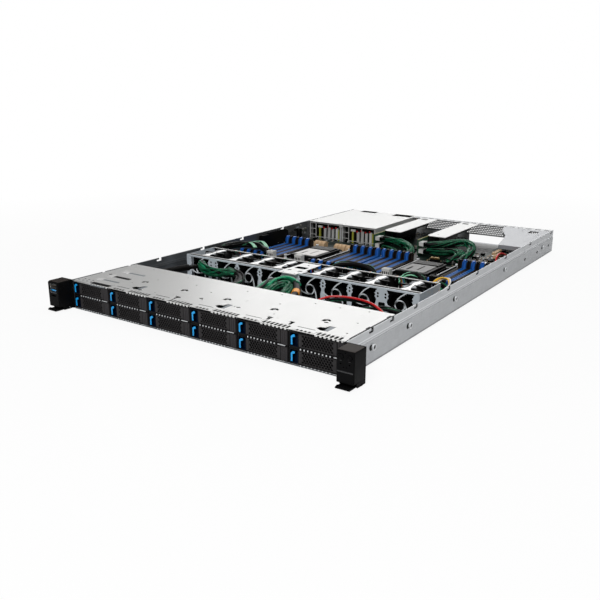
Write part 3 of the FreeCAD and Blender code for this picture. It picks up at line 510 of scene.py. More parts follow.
def strip(line, half):
    """The two edge points beside each point of a flat line."""
    edges = []
    for i, (u, v) in enumerate(line):
        a, b = line[max(i - 1, 0)], line[min(i + 1, len(line) - 1)]
        run = math.hypot(b[0] - a[0], b[1] - a[1])
        n = (-(b[1] - a[1]) / run * half, (b[0] - a[0]) / run * half)
        edges.append(((u + n[0], v + n[1]), (u - n[0], v - n[1])))
    return edges


def rounded(u0, u1, v0, v1, radius, steps=4):
    """An oblong with round corners."""
    loop = []
    corners = ((u1 - radius, v1 - radius, 0), (u0 + radius, v1 - radius, 90),
               (u0 + radius, v0 + radius, 180), (u1 - radius, v0 + radius, 270))
    for u, v, start in corners:
        for i in range(steps + 1):
            t = math.radians(start + 90 * i / steps)
            loop.append((u + radius * math.cos(t), v + radius * math.sin(t)))
    return loop


print("a pressed washer has", len(stamped(disc(0, 0, 5), [disc(0, 0, 2)], 1)[1]), "faces")

# %% [markdown]
# ## The floor, the backdrop and the light
# A pale floor keeps the object's shadow. One wide soft lamp stands overhead, one behind and one in
# front, as in a product studio. The backdrop is white for the camera and dim for everything else.

# %% The room


def room():
    """A floor that is lit like any other, and that fades to white away from the object."""
    floor = Stock().box(-9000, 9000, -9000, 9000, -1.6, -0.6)
    mesh = bpy.data.meshes.new("floor")
    mesh.from_pydata([spot(*p) for p in floor.points], [], floor.faces)
    obj = bpy.data.objects.new("floor", mesh)
    f = Finish("floor paint")
    tone = f.mix(f.noise(3, 2), (0.80, 0.80, 0.80), (0.84, 0.84, 0.84))
    f.surface(base_color=tone, roughness=0.9, specular_ior_level=0.1)
    away = f.node("ShaderNodeVectorMath", {"operation": "LENGTH"}, {0: f.place()}, 1)
    fade = f.ramp(away * 0.5, 0.20, 0.62)
    glow = f.node("ShaderNodeEmission", None, {"Color": (1, 1, 1, 1), "Strength": 1.0})
    camera_only = Wire(f, f.tree.nodes.new("ShaderNodeLightPath").outputs["Is Camera Ray"])
    share = camera_only * (fade * 0.10 + 0.90)
    choose = f.tree.nodes.new("ShaderNodeMixShader")
    f.feed(choose.inputs[0], share)
    f.tree.links.new(f.shader.outputs[0], choose.inputs[1])
    f.tree.links.new(glow.socket, choose.inputs[2])
    f.tree.links.new(choose.outputs[0], f.tree.nodes["Material Output"].inputs["Surface"])
    mesh.materials.append(f.material)
    scene.collection.objects.link(obj)


def lamp(name, place, aim, size, power):
    light = bpy.data.lights.new(name, "AREA")
    light.shape = "RECTANGLE"
    light.size, light.size_y = size
    light.energy = power
    obj = bpy.data.objects.new(name, light)
    obj.location = place
    obj.rotation_euler = (Vector(aim) - Vector(place)).to_track_quat("-Z", "Y").to_euler()
    obj.visible_camera = False
    scene.collection.objects.link(obj)


room()
lamp("overhead lamp", (0.35, 0.20, 1.70), (0.05, 0.05, 0.0), (1.6, 1.6), 15.0)
lamp("rear lamp", (-0.92, 1.87, 0.90), (0.1, -0.2, 0.0), (1.75, 1.0), 11.4)
lamp("front lamp", (0.45, -1.70, 1.35), (0.0, 0.0, 0.0), (0.8, 0.6), 24.0)

world = bpy.data.worlds.new("backdrop")
scene.world = world
world.use_nodes = True
paths = world.node_tree.nodes.new("ShaderNodeLightPath")
strength = world.node_tree.nodes.new("ShaderNodeMapRange")
strength.inputs["To Min"].default_value = 0.11
strength.inputs["To Max"].default_value = 1.0
world.node_tree.links.new(paths.outputs["Is Camera Ray"], strength.inputs["Value"])
backdrop = world.node_tree.nodes["Background"]
backdrop.inputs["Color"].default_value = (1, 1, 1, 1)
world.node_tree.links.new(strength.outputs["Result"], backdrop.inputs["Strength"])
print("three lamps over a pale floor")

# %% [markdown]
# ## The tray
# The tray's own CAD shape is right: a folded sheet with a joggle along each wall, hook slots for the lid
# and slots for the rail. It only needs its steel, which carries painted highlights at the joggle and
# painted shade low down and inside the left wall, and black blocks behind the hook slots and along the top
# of the right wall as painted shade. The studs get a turned head with a bore, and black discs in the bore
# and beside the head are painted shade.

# %% The tray and its studs
nodes_by_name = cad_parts


def coat(name, finish):
    """Give a CAD node its finish."""
    nodes_by_name[name].data.materials.clear()
    nodes_by_name[name].data.materials.append(finish)


coat("chassis_base", TRAY_STEEL)


STUD_PLACES = (54.4, 144.2, 283.5, 485.3, 690.1)
WALL = 219.0


def studs():
    """Headed studs on both walls, and thin washers high up near the rear."""
    stock = Stock()
    head = [(-0.05, 3.0), (0.2, 3.2), (1.5, 3.2), (1.7, 3.8), (2.4, 3.8), (2.6, 3.5), (2.6, 2.5),
            (0.9, 2.3)]
    for y in STUD_PLACES:
        for side in (-1, 1):
            stock.turned((side * WALL, y, 19.4), (side, 0, 0), head, sides=28)
            # A black disc deep in each bore and a black disc on the wall beside each head are painted
            # shade.
            stock.turned((side * WALL, y, 19.4), (side, 0, 0), [(1.6, 2.3), (1.8, 2.3), (1.82, 0.3)], 1)
            stock.turned((side * WALL, y - 4.3, 19.5), (side, 0, 0), [(0.0, 3.6), (0.12, 3.5)], 1)
    washer, faces = stamped(disc(0, 0, 3.4), [disc(0, 0, 2.3)], 0.25)
    for y in (587.0, 657.0, 728.0):
        for side in (-1, 1):
            stock.add([(w + side * WALL - 0.12, u + y, v + 30.6) for u, v, w in washer], faces)
    return stock


# Black blocks behind the hook slots and along the top of the right wall are painted shade.
hook_slot_shade = Stock()
for y in (51.0, 99.0, 161.0, 260.0, 363.0, 485.0, 612.0, 738.0):
    hook_slot_shade.box(216.3, 216.9, y - 6.2, y + 6.2, 33.5, 39.6)
    hook_slot_shade.box(217.0, 217.5, y - 3.8, y + 3.8, 33.5, 41.2)
    if y < 110:
        hook_slot_shade.box(213.4, 216.9, y - 4.0, y + 4.0, 39.6, 41.24)
hook_slot_shade.box(215.0, 217.6, 10.0, 94.0, 40.4, 41.24)
hook_slot_shade.piece("painted_shade_behind_hook_slots", "chassis", [CHIP_BLACK])
studs().piece("rail_stud_heads", "chassis", [BRIGHT_STEEL, CHIP_BLACK], ["rail_studs"])
print(2 * len(STUD_PLACES), "studs")

# %% [markdown]
# ## The cover over the drives
# The cover is a thin pressed plate. A row of slots runs along its front edge, between low raised
# pads, and windows with bent tabs, finger slots and round holes break its face. One outline with its
# holes makes the plate. The pads, the tabs and the screw heads are laid on as forms of their own.

# %% The drive bay cover
BAY_LEFT, PITCH, INSET = -217.8, 72.6, 0.7


def bay_cover():
    stock = Stock()
    holes = []
    for bay in range(6):
        left = BAY_LEFT + bay * PITCH
        for i in range(7):
            u = left + 33.5 + i * 5.4
            if u < 210:
                holes.append(oblong(u, u + 3.6, 2.0, 10.4))
                # Black plates on the front fold under the slots are painted shade in the notches.
                stock.box(u + 2.6, u + 5.0, 0.85, 1.02, 38.3, 40.0, 2)
        stock.box(left + 32.5, min(left + 71.0, 213.0), 1.0, 1.5, 38.0, 40.6, 3)
        if bay:
            lying(stock, 40.55, rounded(left + 4, left + 31, 3.2, 11.5, 1.2, 3), [], 0.4)
            # A black strip behind each raised pad is painted shade.
            lying(stock, 40.5, rounded(left + 3, left + 26, 11.8, 13.4, 0.5, 2), [], 0.2, kind=2)
            for i in range(4):
                lying(stock, 40.86, oblong(left + 8 + i * 5.2, left + 10.6 + i * 5.2, 1.3, 4.6), [], 0.14,
                      kind=2)
        else:
            # The first bay's dimples are flat discs of the shaded steel, as painted shade.
            for i in range(7):
                lying(stock, 40.55, disc(left + 5 + i * 4.1, 7 + (i % 2) * 7, 1.5, 8), [], 0.1, kind=1)
            lying(stock, 40.52, oblong(left + 33, left + 67, 1.3, 9.5), [], 0.16, kind=2)
    for bay in (1, 3, 5):
        u = BAY_LEFT + bay * PITCH + 24.5
        holes.append([(u - 2, 20), (u + 6.5, 15.5), (u + 14.5, 17), (u + 14.5, 34), (u + 6.5, 34),
                      (u + 5.0, 27), (u - 1, 26)])
        stock.skin([[(u + 7.4, y, z0), (u + 14.2, y, z0), (u + 14.2, y, z1), (u + 7.4, y, z1)]
                    for y, z0, z1 in ((21.0, 38.9, 39.3), (33.8, 39.9, 40.3))], 4)
    for bay in range(1, 6):
        u = BAY_LEFT + bay * PITCH + 14
        holes.append([(u - 1, 44.5), (u + 3, 44.5), (u + 4, 49), (u + 8.5, 47), (u + 8.5, 50.5),
                      (u + 4, 54), (u - 2, 51)])
    for bay in (2, 4, 5):
        u = BAY_LEFT + bay * PITCH + 31 - (42 if bay == 5 else 0)
        holes.append([(u, 13), (u + 3.4, 13), (u + 3.4, 24), (u - 3.0, 24), (u - 3.0, 20.5), (u, 20)])
    for y, u, thick, kind in ((23, -187, 5.0, 4), (42, -188, 7.5, 2), (68, -186, 5.5, 4)):
        holes.append(rounded(u + 3, u + 34, y, y + thick, 1.2))
        # A grey or black floor in each finger slot is painted shade.
        stock.box(u + 3.1, u + 33.9, y + 0.1, y + thick - 0.1, 38.9, 40.1, kind)
        lying(stock, 40.55, rounded(u - 8, u + 3.6, y - 1.6, y + thick + 1.2, 1.2, 3), [], 0.45, kind=3)
    for u, v in ((-199, 50), (-104, 17), (-38, 20), (-12, 33), (50, 30), (104, 20), (166, 42)):
        lying(stock, 40.52, [(u - 3.5, v), (u, v - 2.4), (u + 3.5, v + 0.5), (u, v + 2.8)], [], 0.1, kind=2)
    dots = [(-150, 14), (-122, 66), (-60, 76), (14, 92), (82, 70), (150, 98), (196, 60), (-202, 100),
            (-96, 98), (44, 30), (116, 96), (-20, 60), (-170, 104), (60, 104), (204, 24), (-8, 30),
            (-80, 20), (100, 34), (-140, 36), (186, 104)]
    holes += [disc(u, v, 1.4, 12) for u, v in dots]
    outline = rounded(-216.8, 215.2, 1.2, 113.0, 1.0, 2)
    lying(stock, 39.8, outline, holes, SHEET, 0.1)
    # A black strip under the plate's right edge is painted shade in the gap to the wall.
    stock.box(215.4, 217.0, 1.2, 113.0, 38.6, 39.4, 2)
    stock.box(-217.0, -185.4, 1.2, 2.0, 38.4, 39.9)
    for u, v in ((-176, 92), (-104, 22), (-33, 36), (40, 58), (112, 24), (186, 88), (-70, 104), (70, 104),
                 (-205, 14), (205, 14), (-140, 104), (140, 104), (0, 104)):
        stock.turned((u, v, 40.6), UP, [(-0.3, 2.3), (0.08, 2.2), (0.12, 1.6), (-0.25, 0.9)], sides=16)
    return stock


bay_cover().piece("bay_cover", "chassis", [COVER_STEEL, SHADOW_STEEL, CHIP_BLACK, WHITE_STRAP, PLAIN_GREY],
                  ["drive_bay_cover"])
print("a cover with its windows")

# %% [markdown]
# ## The cage and its toothed shelf
# Between the rows of carriers runs a shelf whose front edge is cut into small teeth, and the tray's front
# lip has the same teeth. They catch the light as a dotted line in the dark front. The shelf and its walls
# are drawn in the shaded steel, and black strips behind the teeth, as painted shade.

# %% The drive cage


def drive_cage():
    stock = Stock()
    # The shelf and the walls between the bays are in the shaded steel, as painted shade.
    stock.box(-218.2, 218.2, 3.2, 112, 20.0, 20.6)
    for bay in range(1, 6):
        u = BAY_LEFT + bay * PITCH
        stock.box(u - 0.3, u + 0.3, 2.0, 112, 0.8, 39.8)
    for bay in range(6):
        left = BAY_LEFT + bay * PITCH
        for low, high in ((19.55, 21.05), (0.95, 2.15)):
            for i in range(9):
                u = left + 15.0 + i * 4.7
                stock.box(u, u + 1.25, -0.45, 0.5, low, high, 1)
            stock.box(left + 57.5, left + 67.5, -0.2, 3.3, low + 0.5, high - 0.3, 1)
            # Black strips behind the teeth are painted shade.
            stock.box(left + 1.0, left + 71.6, 0.7, 3.3, low, high, 2)
    stock.box(-217.0, 217.0, -0.30, 0.10, 0.02, 0.42, 1)
    stock.box(-217.0, 217.0, -0.20, 0.12, 0.42, 1.00, 2)
    return stock


drive_cage().piece("cage_with_teeth", "chassis", [SHADOW_STEEL, BRIGHT_STEEL, CHIP_BLACK], ["drive_cage"])
print("a toothed cage")

# %% [markdown]
# ## The drive carriers
# A carrier is a moulded bezel on two steel rails that hold a drive. Left is a recess with the bright hooked
# catch, then the lever's pocket, and right a ridged grip. The recess and the catch's body are a dark blue
# that is painted shade on the blue plastic, and the drive's top is black as painted shade. All twelve are
# alike, so one mesh is drawn once and stands at twelve places.

# %% The carriers


def carrier():
    stock = Stock()
    top, wall, deep = 17.0, 0.9, 8.0
    openings = [oblong(u0, u1, wall, top - wall) for u0, u1 in ((0.9, 11.4), (11.75, 61.1))]
    facing(stock, 0, oblong(0, 71.2, 0, top), openings, deep, 0.15)
    # The recess and the catch's body are a dark blue: painted shade on the blue plastic.
    stock.box(0.9, 11.4, 4.5, 5.2, wall, top - wall, 1)
    stock.box(0.9, 1.2, 0.3, 4.5, wall, top - wall, 1)
    stock.box(10.9, 11.4, 0.3, 4.5, wall, top - wall, 1)
    stock.box(2.5, 10.9, 0.3, 4.5, wall, wall + 0.4, 1)
    catch = [(2.0, 2.3), (4.1, 2.3), (4.1, 10.6), (7.2, 12.0), (7.2, 14.2), (4.6, 14.2), (2.0, 12.0)]
    facing(stock, -0.3, catch, [], 0.9, 0.25, 2)
    facing(stock, 0.6, catch, [], 3.9, 0.05, 1)
    for i in range(3):
        u = 61.6 + i * 2.75
        stock.skin([[(u, 0.1, z), (u + 0.5, -0.5, z), (u + 1.9, -0.5, z), (u + 2.5, 0.1, z)]
                    for z in (0.3, top - 0.3)], 3)
    stock.box(0.0, 0.55, deep, 106.0, 0.0, top, 4)
    stock.box(70.65, 71.2, deep, 106.0, 0.0, top, 4)
    stock.box(0.7, 70.5, 9.0, 109.2, 1.0, 16.0, 5)
    stock.box(6.7, 42.7, 109.2, 111.6, 2.0, 5.5, 5)
    # The drive's top is black, as painted shade under the cover.
    stock.box(3.0, 68.0, 12.0, 106.0, 16.0, 16.15, 5)
    stock.turned((58.7, 1.9, 0.5), UP, [(0, 0.6), (16, 0.6)], 4, 12)
    return stock


def in_every_bay(sort, mesh):
    """The same mesh at its twelve places, in two rows of six."""
    for row, low in (("bottom", 2.2), ("top", 21.4)):
        for bay in range(6):
            name = "%s_%s_%d" % (sort, row, bay + 1)
            placed("dressed_" + name, mesh, name, [name], at=(BAY_LEFT + INSET + bay * PITCH, 0, low))


carrier_finishes = [LEVER_GREY, SHADED_BLUE, CATCH_BLUE, BLOCK_GREY, NICKEL, CHIP_BLACK]
in_every_bay("carrier", carrier().mesh("carrier", carrier_finishes))
print("twelve carriers")

# %% [markdown]
# ## The swing levers
# Each lever is a honeycomb grille that is hinged on its right and swings out to draw its carrier.
# Six-sided holes in staggered rows leave thin ribs between them. The press above cuts all at once.

# %% The levers


def lever():
    stock = Stock()
    low, high = 1.2, 15.8
    holes = []
    for row in range(5):
        for column in range(11 - row % 2):
            u, v = 17.4 + column * 3.7 + (row % 2) * 1.85, low + 1.9 + row * 2.7
            turns = [math.radians(a) for a in range(0, 360, 60)]
            holes.append([(u + 1.62 * math.sin(t), v + 1.68 * math.cos(t)) for t in turns])
    facing(stock, 0.45, rounded(11.9, 58.7, low, high, 0.5, 2), holes, 1.2, 0.10)
    stock.box(11.9, 15.2, 0.5, 3.4, low, high)
    stock.box(15.2, 57.0, 0.6, 3.4, low, low + 0.8)
    stock.box(15.2, 57.0, 0.6, 3.4, high - 0.8, high)
    stock.turned((58.7, 1.9, low), UP, [(0, 1.6), (high - low, 1.6)], 0, 20)
    stock.box(12.4, 14.8, 0.25, 0.6, low + 0.6, high - 0.6, 1)
    return stock


lever_mesh = lever().mesh("lever", [GRILLE_GREY, BLOCK_GREY])
in_every_bay("lever", lever_mesh)
print("twelve levers with", len(lever_mesh.polygons), "faces each")

# %% [markdown]
# ## The pull-out tag
# A thin tray slides out above the first bay; it would carry a label, so here it is bare.

# %% The tag


def tag():
    stock = Stock()
    low = 38.9
    lying(stock, low, rounded(-184.8, -150.8, 3.0, 63.0, 2.0), [rounded(-180, -156, 10, 56, 3.0)], 0.6)
    lying(stock, low - 0.1, rounded(-182.8, -152.8, -0.4, 3.5, 0.6), [], 0.7, kind=1)
    stock.box(-180.8, -154.8, -0.9, -0.3, low - 0.1, low + 0.5, 1)
    return stock


tag().piece("tag_plate", "pull_out_tag", [CHIP_BLACK, PLAIN_GREY], ["pull_out_tag"])
print("a bare tag")

# %% [markdown]
# ## The fan bracket
# A stamped wall stands before the fans. Every fan has one large opening, and the sheet left between
# two openings is a slim post that spreads at its head and its foot. A bright guard ring on three
# swept spokes keeps fingers out.

# %% The fan bracket
FAN_STEPS = (34.0, 77.0, 120.3, 174.7)
FANS = [0.6 - step for step in FAN_STEPS[::-1]] + [0.6 + step for step in FAN_STEPS]
FAN_LEVEL = 20.8


def fan_opening(x):
    """The opening before one fan, narrow where the posts' heads and feet spread."""
    rim = [(19.0, 2.6), (18.8, 5.0), (18.2, 9.0), (17.6, 14.0), (17.6, 17.0), (18.4, 20.0), (19.2, 23.0),
           (18.6, 25.5), (16.8, 28.0), (18.2, 30.5), (16.6, 33.0), (18.6, 34.6), (18.2, 36.2), (19.6, 37.2),
           (20.1, 38.6)]
    return [(x + u, z) for u, z in rim] + [(x - u, z) for u, z in rim[::-1]]


def guard(x):
    """A ring and three swept spokes, as flat strips."""
    stock = Stock()
    facing(stock, 204.7, disc(x, FAN_LEVEL, 7.7, 32), [disc(x, FAN_LEVEL, 6.1, 32)], 0.9, 0.15)
    line = [(-7.1, -0.2), (-6.6, 2.2), (-5.2, 5.4), (-2.6, 9.2), (0.9, 12.7), (5.0, 15.8), (9.9, 18.8)]
    for turn in (0, 120, 240):
        cos, sin = math.cos(math.radians(turn)), math.sin(math.radians(turn))
        loops = []
        for edges in strip(line, 0.8):
            (p0, q0), (p1, q1) = [(x + p * cos - q * sin, FAN_LEVEL + p * sin + q * cos) for p, q in edges]
            loops.append([(p0, 204.7, q0), (p1, 204.7, q1), (p1, 205.6, q1), (p0, 205.6, q0)])
        stock.skin(loops)
    return stock


def fan_wall():
    stock = Stock()
    holes = [fan_opening(x) for x in FANS]
    for left, right in ((1, 2), (2, 3), (4, 5), (5, 6)):
        middle = (FANS[left] + FANS[right]) / 2
        holes += [disc(middle, 32.8, 1.5, 14), disc(middle, 28.5, 1.5, 14)]
    for columns, levels in (((-150.4, -140.7), (34.5, 29.5)), ((142.4, 153.9), (32.5, 28.3))):
        holes += [disc(u, v, 1.6, 14) for u in columns for v in levels]
    holes += [rounded(middle - 5, middle + 5, 8, 21, 2.0) for middle in (-145.5, 148.6)]
    holes += [disc(u, v, 1.6, 14) for v in (12, 31) for u in (-9, 10)] + [rounded(-6, 7, 17, 25, 1.5)]
    facing(stock, 205.0, oblong(-200.4, 201.6, 0.9, 40.9), holes, SHEET, 0.12)
    stock.box(-200.4, 201.6, 205.0, 206.3, 40.8, 41.2)
    # A black strip behind the top flange is painted shade.
    stock.box(-200.4, 201.6, 206.3, 208.8, 40.3, 40.9, 1)
    stock.box(-200.4, 201.6, 205.0, 210.8, 0.85, 1.6)
    for x0 in (-201.2, 201.6):
        stock.box(x0, x0 + 0.8, 205.0, 270.0, 0.9, 41.2)
    # Over each fan a black strip under the flange's fold is painted shade.
    for x in FANS:
        stock.box(x - 19.6, x + 19.6, 206.0, 207.4, 38.7, 40.8, 1)
    return stock


fan_wall().piece("fan_wall", "chassis", [POST_STEEL, CHIP_BLACK, BRIGHT_STEEL], ["fan_bracket"], smooth=30)
guards = Stock()
for x in FANS:
    guards.copies(guard(x))
guards.piece("finger_guards", "chassis", [GUARD_STEEL])
print("a wall with", len(FANS), "openings")

# %% [markdown]
# ## Rails and straps
# Two slotted rails and a wider plate in the middle hold the fans down. On each fan lies a pale waisted
# strap, raised along its middle, with a thin flap on either side at both its ends.

# %% The rails and the straps


def fan_rails():
    stock = Stock()
    for y0, y1 in ((210.0, 214.0), (267.0, 270.0)):
        middles = [(left + right) / 2 for left, right in zip(FANS, FANS[1:])]
        holes = [rounded(middle - 3.5, middle + 3.5, y0 + 0.2, y0 + 0.8, 0.2, 2) for middle in middles]
        near = y0 + 2.5 if y0 < 220 else y0 + 1.0
        lying(stock, 40.78, oblong(-200.4, 201.6, near, y1), [], 0.45, 0.05)
        # The front strip of each rail is black, as painted shade.
        lying(stock, 40.55, oblong(-200.4, 201.6, y0, near), holes, 0.3, 0.05, 1)
    outline = [(-14.4, 196.2), (15.6, 196.2), (15.6, 205), (19.4, 206), (19.4, 222), (15.6, 224),
               (15.6, 263), (-14.4, 263), (-14.4, 224), (-15.9, 222), (-15.9, 206), (-14.4, 205)]
    holes = [rounded(-9, 10, 228, 240, 2), disc(-9, 201, 1.5, 14), disc(11, 201, 1.5, 14),
             disc(0.6, 252, 2.0, 16), rounded(-11, -5, 211, 218, 1), rounded(7, 14, 211, 218, 1)]
    lying(stock, 40.75, outline, holes, 0.5, 0.08)
    lying(stock, 39.9, rounded(-6, 14, 196.3, 199.4, 0.8), [], 0.4)
    return stock


def fan_straps():
    stock = Stock()
    for x in FANS:
        side = [(6.6, 213.6), (7.4, 217), (7.0, 221), (4.6, 226), (3.4, 232), (3.2, 238), (4.6, 245),
                (6.6, 250), (7.2, 255), (6.2, 261), (4.8, 266.4)]
        rib = [0.0, 0.5, 0.55, 0.4, 0.3, 0.3, 0.4, 0.5, 0.5, 0.3, 0.0]
        loops = []
        for (u, y), up in zip(side, rib):
            loops.append([(x - u, y, 40.0), (x - u * 0.45, y, 40.65 + up), (x + u * 0.25, y, 40.68 + up),
                          (x + u, y, 40.05), (x + u * 0.9, y, 39.7), (x - u * 0.9, y, 39.7)])
        stock.skin(loops, 0)
        # The flaps are darker than the strap as painted shade: grey at the front, shaded steel at the rear.
        for s in (-1, 1):
            for flap, kind in ((((4.2, 226), (10.4, 230.5), (4.2, 240)), 1),
                               (((4.6, 252), (9.8, 257), (4.6, 264)), 2)):
                lying(stock, 40.35, [(x + s * u, v) for u, v in flap][::s], [], 0.3, 0.05, kind)
    return stock


fan_rails().piece("fan_rails", "chassis", [COVER_STEEL, CHIP_BLACK])
fan_straps().piece("fan_straps", "chassis", [WHITE_STRAP, PLAIN_GREY, SHADOW_STEEL])
print("the fans are held down")

# %% [markdown]
# ## The fans
# A fan's housing is a square flange at each end and a slimmer duct between. The motor cup sits on
# four struts behind five blades. A blade is lofted from hub to tip, and its angle eases towards the
# tip, where it moves faster.

# %% The fans


def fan_housing(x):
    stock = Stock()
    square = rounded(x - 20, x + 20, 0.8, 40.75, 2.0, 3)
    corners = [disc(x + s * 16.2, FAN_LEVEL + t * 16.2, 1.7, 12) for s in (-1, 1) for t in (-1, 1)]
    for y, deep in ((213.0, 4.0), (240.5, 3.0), (264.8, 4.0)):
        facing(stock, y, square, [disc(x, FAN_LEVEL, 18.9, 48)] + corners, deep, 0.2)
    tube = disc(x, FAN_LEVEL, 19.7, 48)
    for y, deep in ((216.8, 23.9), (243.3, 21.7)):
        facing(stock, y, tube, [disc(x, FAN_LEVEL, 18.9, 48)], deep, 0.0)
    stock.turned((x, 237.0, FAN_LEVEL), BACK, [(0, 9.2), (4.4, 9.2)], 0, 32)
    for turn in (25, 115, 205, 295):
        t = math.radians(turn)
        loops = []
        for r in (8.8, 19.2):
            u, v = x + r * math.cos(t), FAN_LEVEL + r * math.sin(t)
            du, dv = -math.sin(t) * 1.1, math.cos(t) * 1.1
            loops.append([(u + s * du, y, v + s * dv) for s,
                          y in ((1, 237.4), (-1, 237.4), (-1, 241.4), (1, 241.4))])
        stock.skin(loops)
    lying(stock, 40.35, rounded(x - 8, x + 8, 246, 258, 1.0), [], 0.2, kind=1)
    return stock


def rotor():
    stock = Stock()
    cup = [(0.4, 0.4), (0.1, 2.2), (0.0, 7.0), (0.35, 8.1), (1.3, 8.6), (20.0, 8.6)]
    stock.turned((0, 215.5, FAN_LEVEL), BACK, cup, 0, 36)
    stock.turned((0, 215.35, FAN_LEVEL), BACK, [(0.0, 5.6), (0.12, 5.6)], 1, 28)
    for blade in range(5):
        loops = []
        for step in range(7):
            share = step / 6
            r = 8.2 + share * 9.7
            lean = math.radians(52 - 18 * share)
            sweep = math.radians(72 * blade + 24 * share)
            chord = 13.0 + 5.0 * share
            ring = []
            for side in (0.35, -0.35):
                places = [-0.5 + k / 6 for k in range(7)]
                for k in places if side > 0 else places[::-1]:
                    arc = chord * k
                    camber = 1.7 * (0.25 - k * k)
                    turn = sweep + (arc * math.sin(lean) + camber) / r
                    y = 225.5 + arc * math.cos(lean) + side
                    ring.append((r * math.cos(turn), min(max(y, 216.4), 235.4),
                                 FAN_LEVEL + r * math.sin(turn)))
            loops.append(ring)
        stock.skin(loops, 0)
    return stock


frames = Stock()
for x in FANS:
    frames.copies(fan_housing(x))
frames.piece("fan_housings", "chassis", [FAN_BLACK, SHADOW_STEEL], ["fan_frames"])
rotor_mesh = rotor().mesh("rotor", [FAN_BLACK, CHIP_BLACK])
for number, x in enumerate(FANS):
    name = "fan_rotor_%d" % (number + 1)
    placed("dressed_" + name, rotor_mesh, name, [name], at=(x, 0, 0))
print("eight fans")

# %% [markdown]
# ## The backplane
# The drives plug into an upright board, and the looms plug into its rear.

# %% The backplane and its plugs
WIDE_PLUGS, NARROW_PLUGS = (-178, -38, -2, 62), (84, 194)


def plug(x, half, kind):
    """A nylon plug: a body with a raised collar and a latch on top."""
    y0, y1, z0, z1 = 113.8, 123.0, 26.0, 35.2
    stock = Stock()
    stock.box(x - half, x + half, y0, y1, z0, z1, kind)
    stock.box(x - half + 0.8, x + half - 0.8, y0 + 1, y1 - 2, z1, z1 + 0.5, kind)
    stock.box(x - 1.2, x + 1.2, y0 + 0.5, y1 - 0.6, z1 + 0.4, z1 + 0.9, kind)
    return stock


def backplane():
    stock = Stock()
    holes = []
    for bay in range(6):
        left = BAY_LEFT + INSET + bay * PITCH
        holes.append(rounded(left + 46, left + 68, 5, 24, 1.5))
        holes += [disc(left + 6, 33, 1.6, 16), disc(left + 40, 8, 1.3, 16)]
    facing(stock, 112.25, oblong(-215.8, 215.8, 0.9, 38.6), holes, 1.6, 0.05)
    chance = random.Random(11)
    for _ in range(150):
        x, z = chance.uniform(-210, 208), chance.uniform(3, 35)
        wide, tall = chance.choice(((1.2, 0.8), (2.0, 1.2), (3.0, 2.6), (4.6, 4.6)))
        stock.box(x, x + wide, 113.8, 113.8 + tall * 0.35, z, z + tall, 1)
    return stock


backplane().piece("backplane_board", "chassis", [BOARD, CHIP_BLACK], ["drive_backplane"])
front_plugs = Stock()
for x in WIDE_PLUGS:
    front_plugs.copies(plug(x, 9.5, 0))
for x in NARROW_PLUGS:
    front_plugs.copies(plug(x, 4.6, 1))
front_plugs.piece("backplane_plugs", "chassis", [CHIP_BLACK, PALE], soft=0.3)
print("a backplane with", len(WIDE_PLUGS + NARROW_PLUGS), "plugs")

# %% [markdown]
# ## The motherboard
# The board is cut round the power supplies and the card bay. Hundreds of small parts stand on it:
# chips, cans, coils and rows of tiny resistors. A seeded list strews them where the board is free.

# %% The motherboard
FREE = [(-205, 200, 296, 314), (-205, -150, 500, 566), (-60, 38, 486, 530), (-60, -30, 380, 480),
        (66, 150, 500, 530), (140, 206, 486, 590), (110, 205, 545, 625), (140, 210, 640, 735),
        (-58, -40, 540, 740), (0, 36, 540, 740), (-130, -70, 486, 498), (60, 112, 484, 500)]
CHIPS = ((1.0, 0.5, 0.4, 3), (1.6, 0.8, 0.6, 2), (1.6, 0.8, 0.6, 3), (2.0, 1.2, 0.8, 2), (3.4, 2.8, 1.0, 0),
         (0.6, 1.1, 0.4, 3), (1.2, 2.0, 0.7, 2))
CAN = [(0, 2.4), (0.5, 2.6), (5.2, 2.6), (5.5, 2.3)]


def small_parts():
    """Strews chips, and fewer cans, coils and larger chips, over every free field."""
    stock = Stock()
    chance = random.Random(7)
    for x0, x1, y0, y1 in FREE:
        area = (x1 - x0) * (y1 - y0)
        for _ in range(int(area / 26)):
            x, y = chance.uniform(x0, x1), chance.uniform(y0, y1)
            wide, deep, tall, kind = chance.choice(CHIPS)
            stock.box(x, x + wide, y, y + deep, BOARD_TOP, BOARD_TOP + tall, kind)
        for _ in range(int(area / 260)):
            x, y = chance.uniform(x0 + 4, x1 - 4), chance.uniform(y0 + 3, y1 - 3)
            sort = chance.random()
            if sort < 0.3:
                stock.turned((x, y, BOARD_TOP), UP, CAN, 1, 16)
            elif sort < 0.6:
                stock.box(x - 3.0, x + 3.0, y - 3.0, y + 3.0, BOARD_TOP, 11.4, 4)
            else:
                side = chance.choice((2.5, 3.5, 5.0))
                stock.box(x - side, x + side, y - side, y + side, BOARD_TOP, 8.8, 0)
    return stock


coat("motherboard", BOARD)
small_parts().piece("small_board_parts", "chassis", [CHIP_BLACK, NICKEL, BEIGE, PALE, FAN_BLACK])
print("small parts stand on the board")

# %% [markdown]
# ## Tall connectors
# Tall blocks behind the fans carry a grid of sockets in their tops. Three are pale, and the one on
# the right is black.

# %% The tall connectors


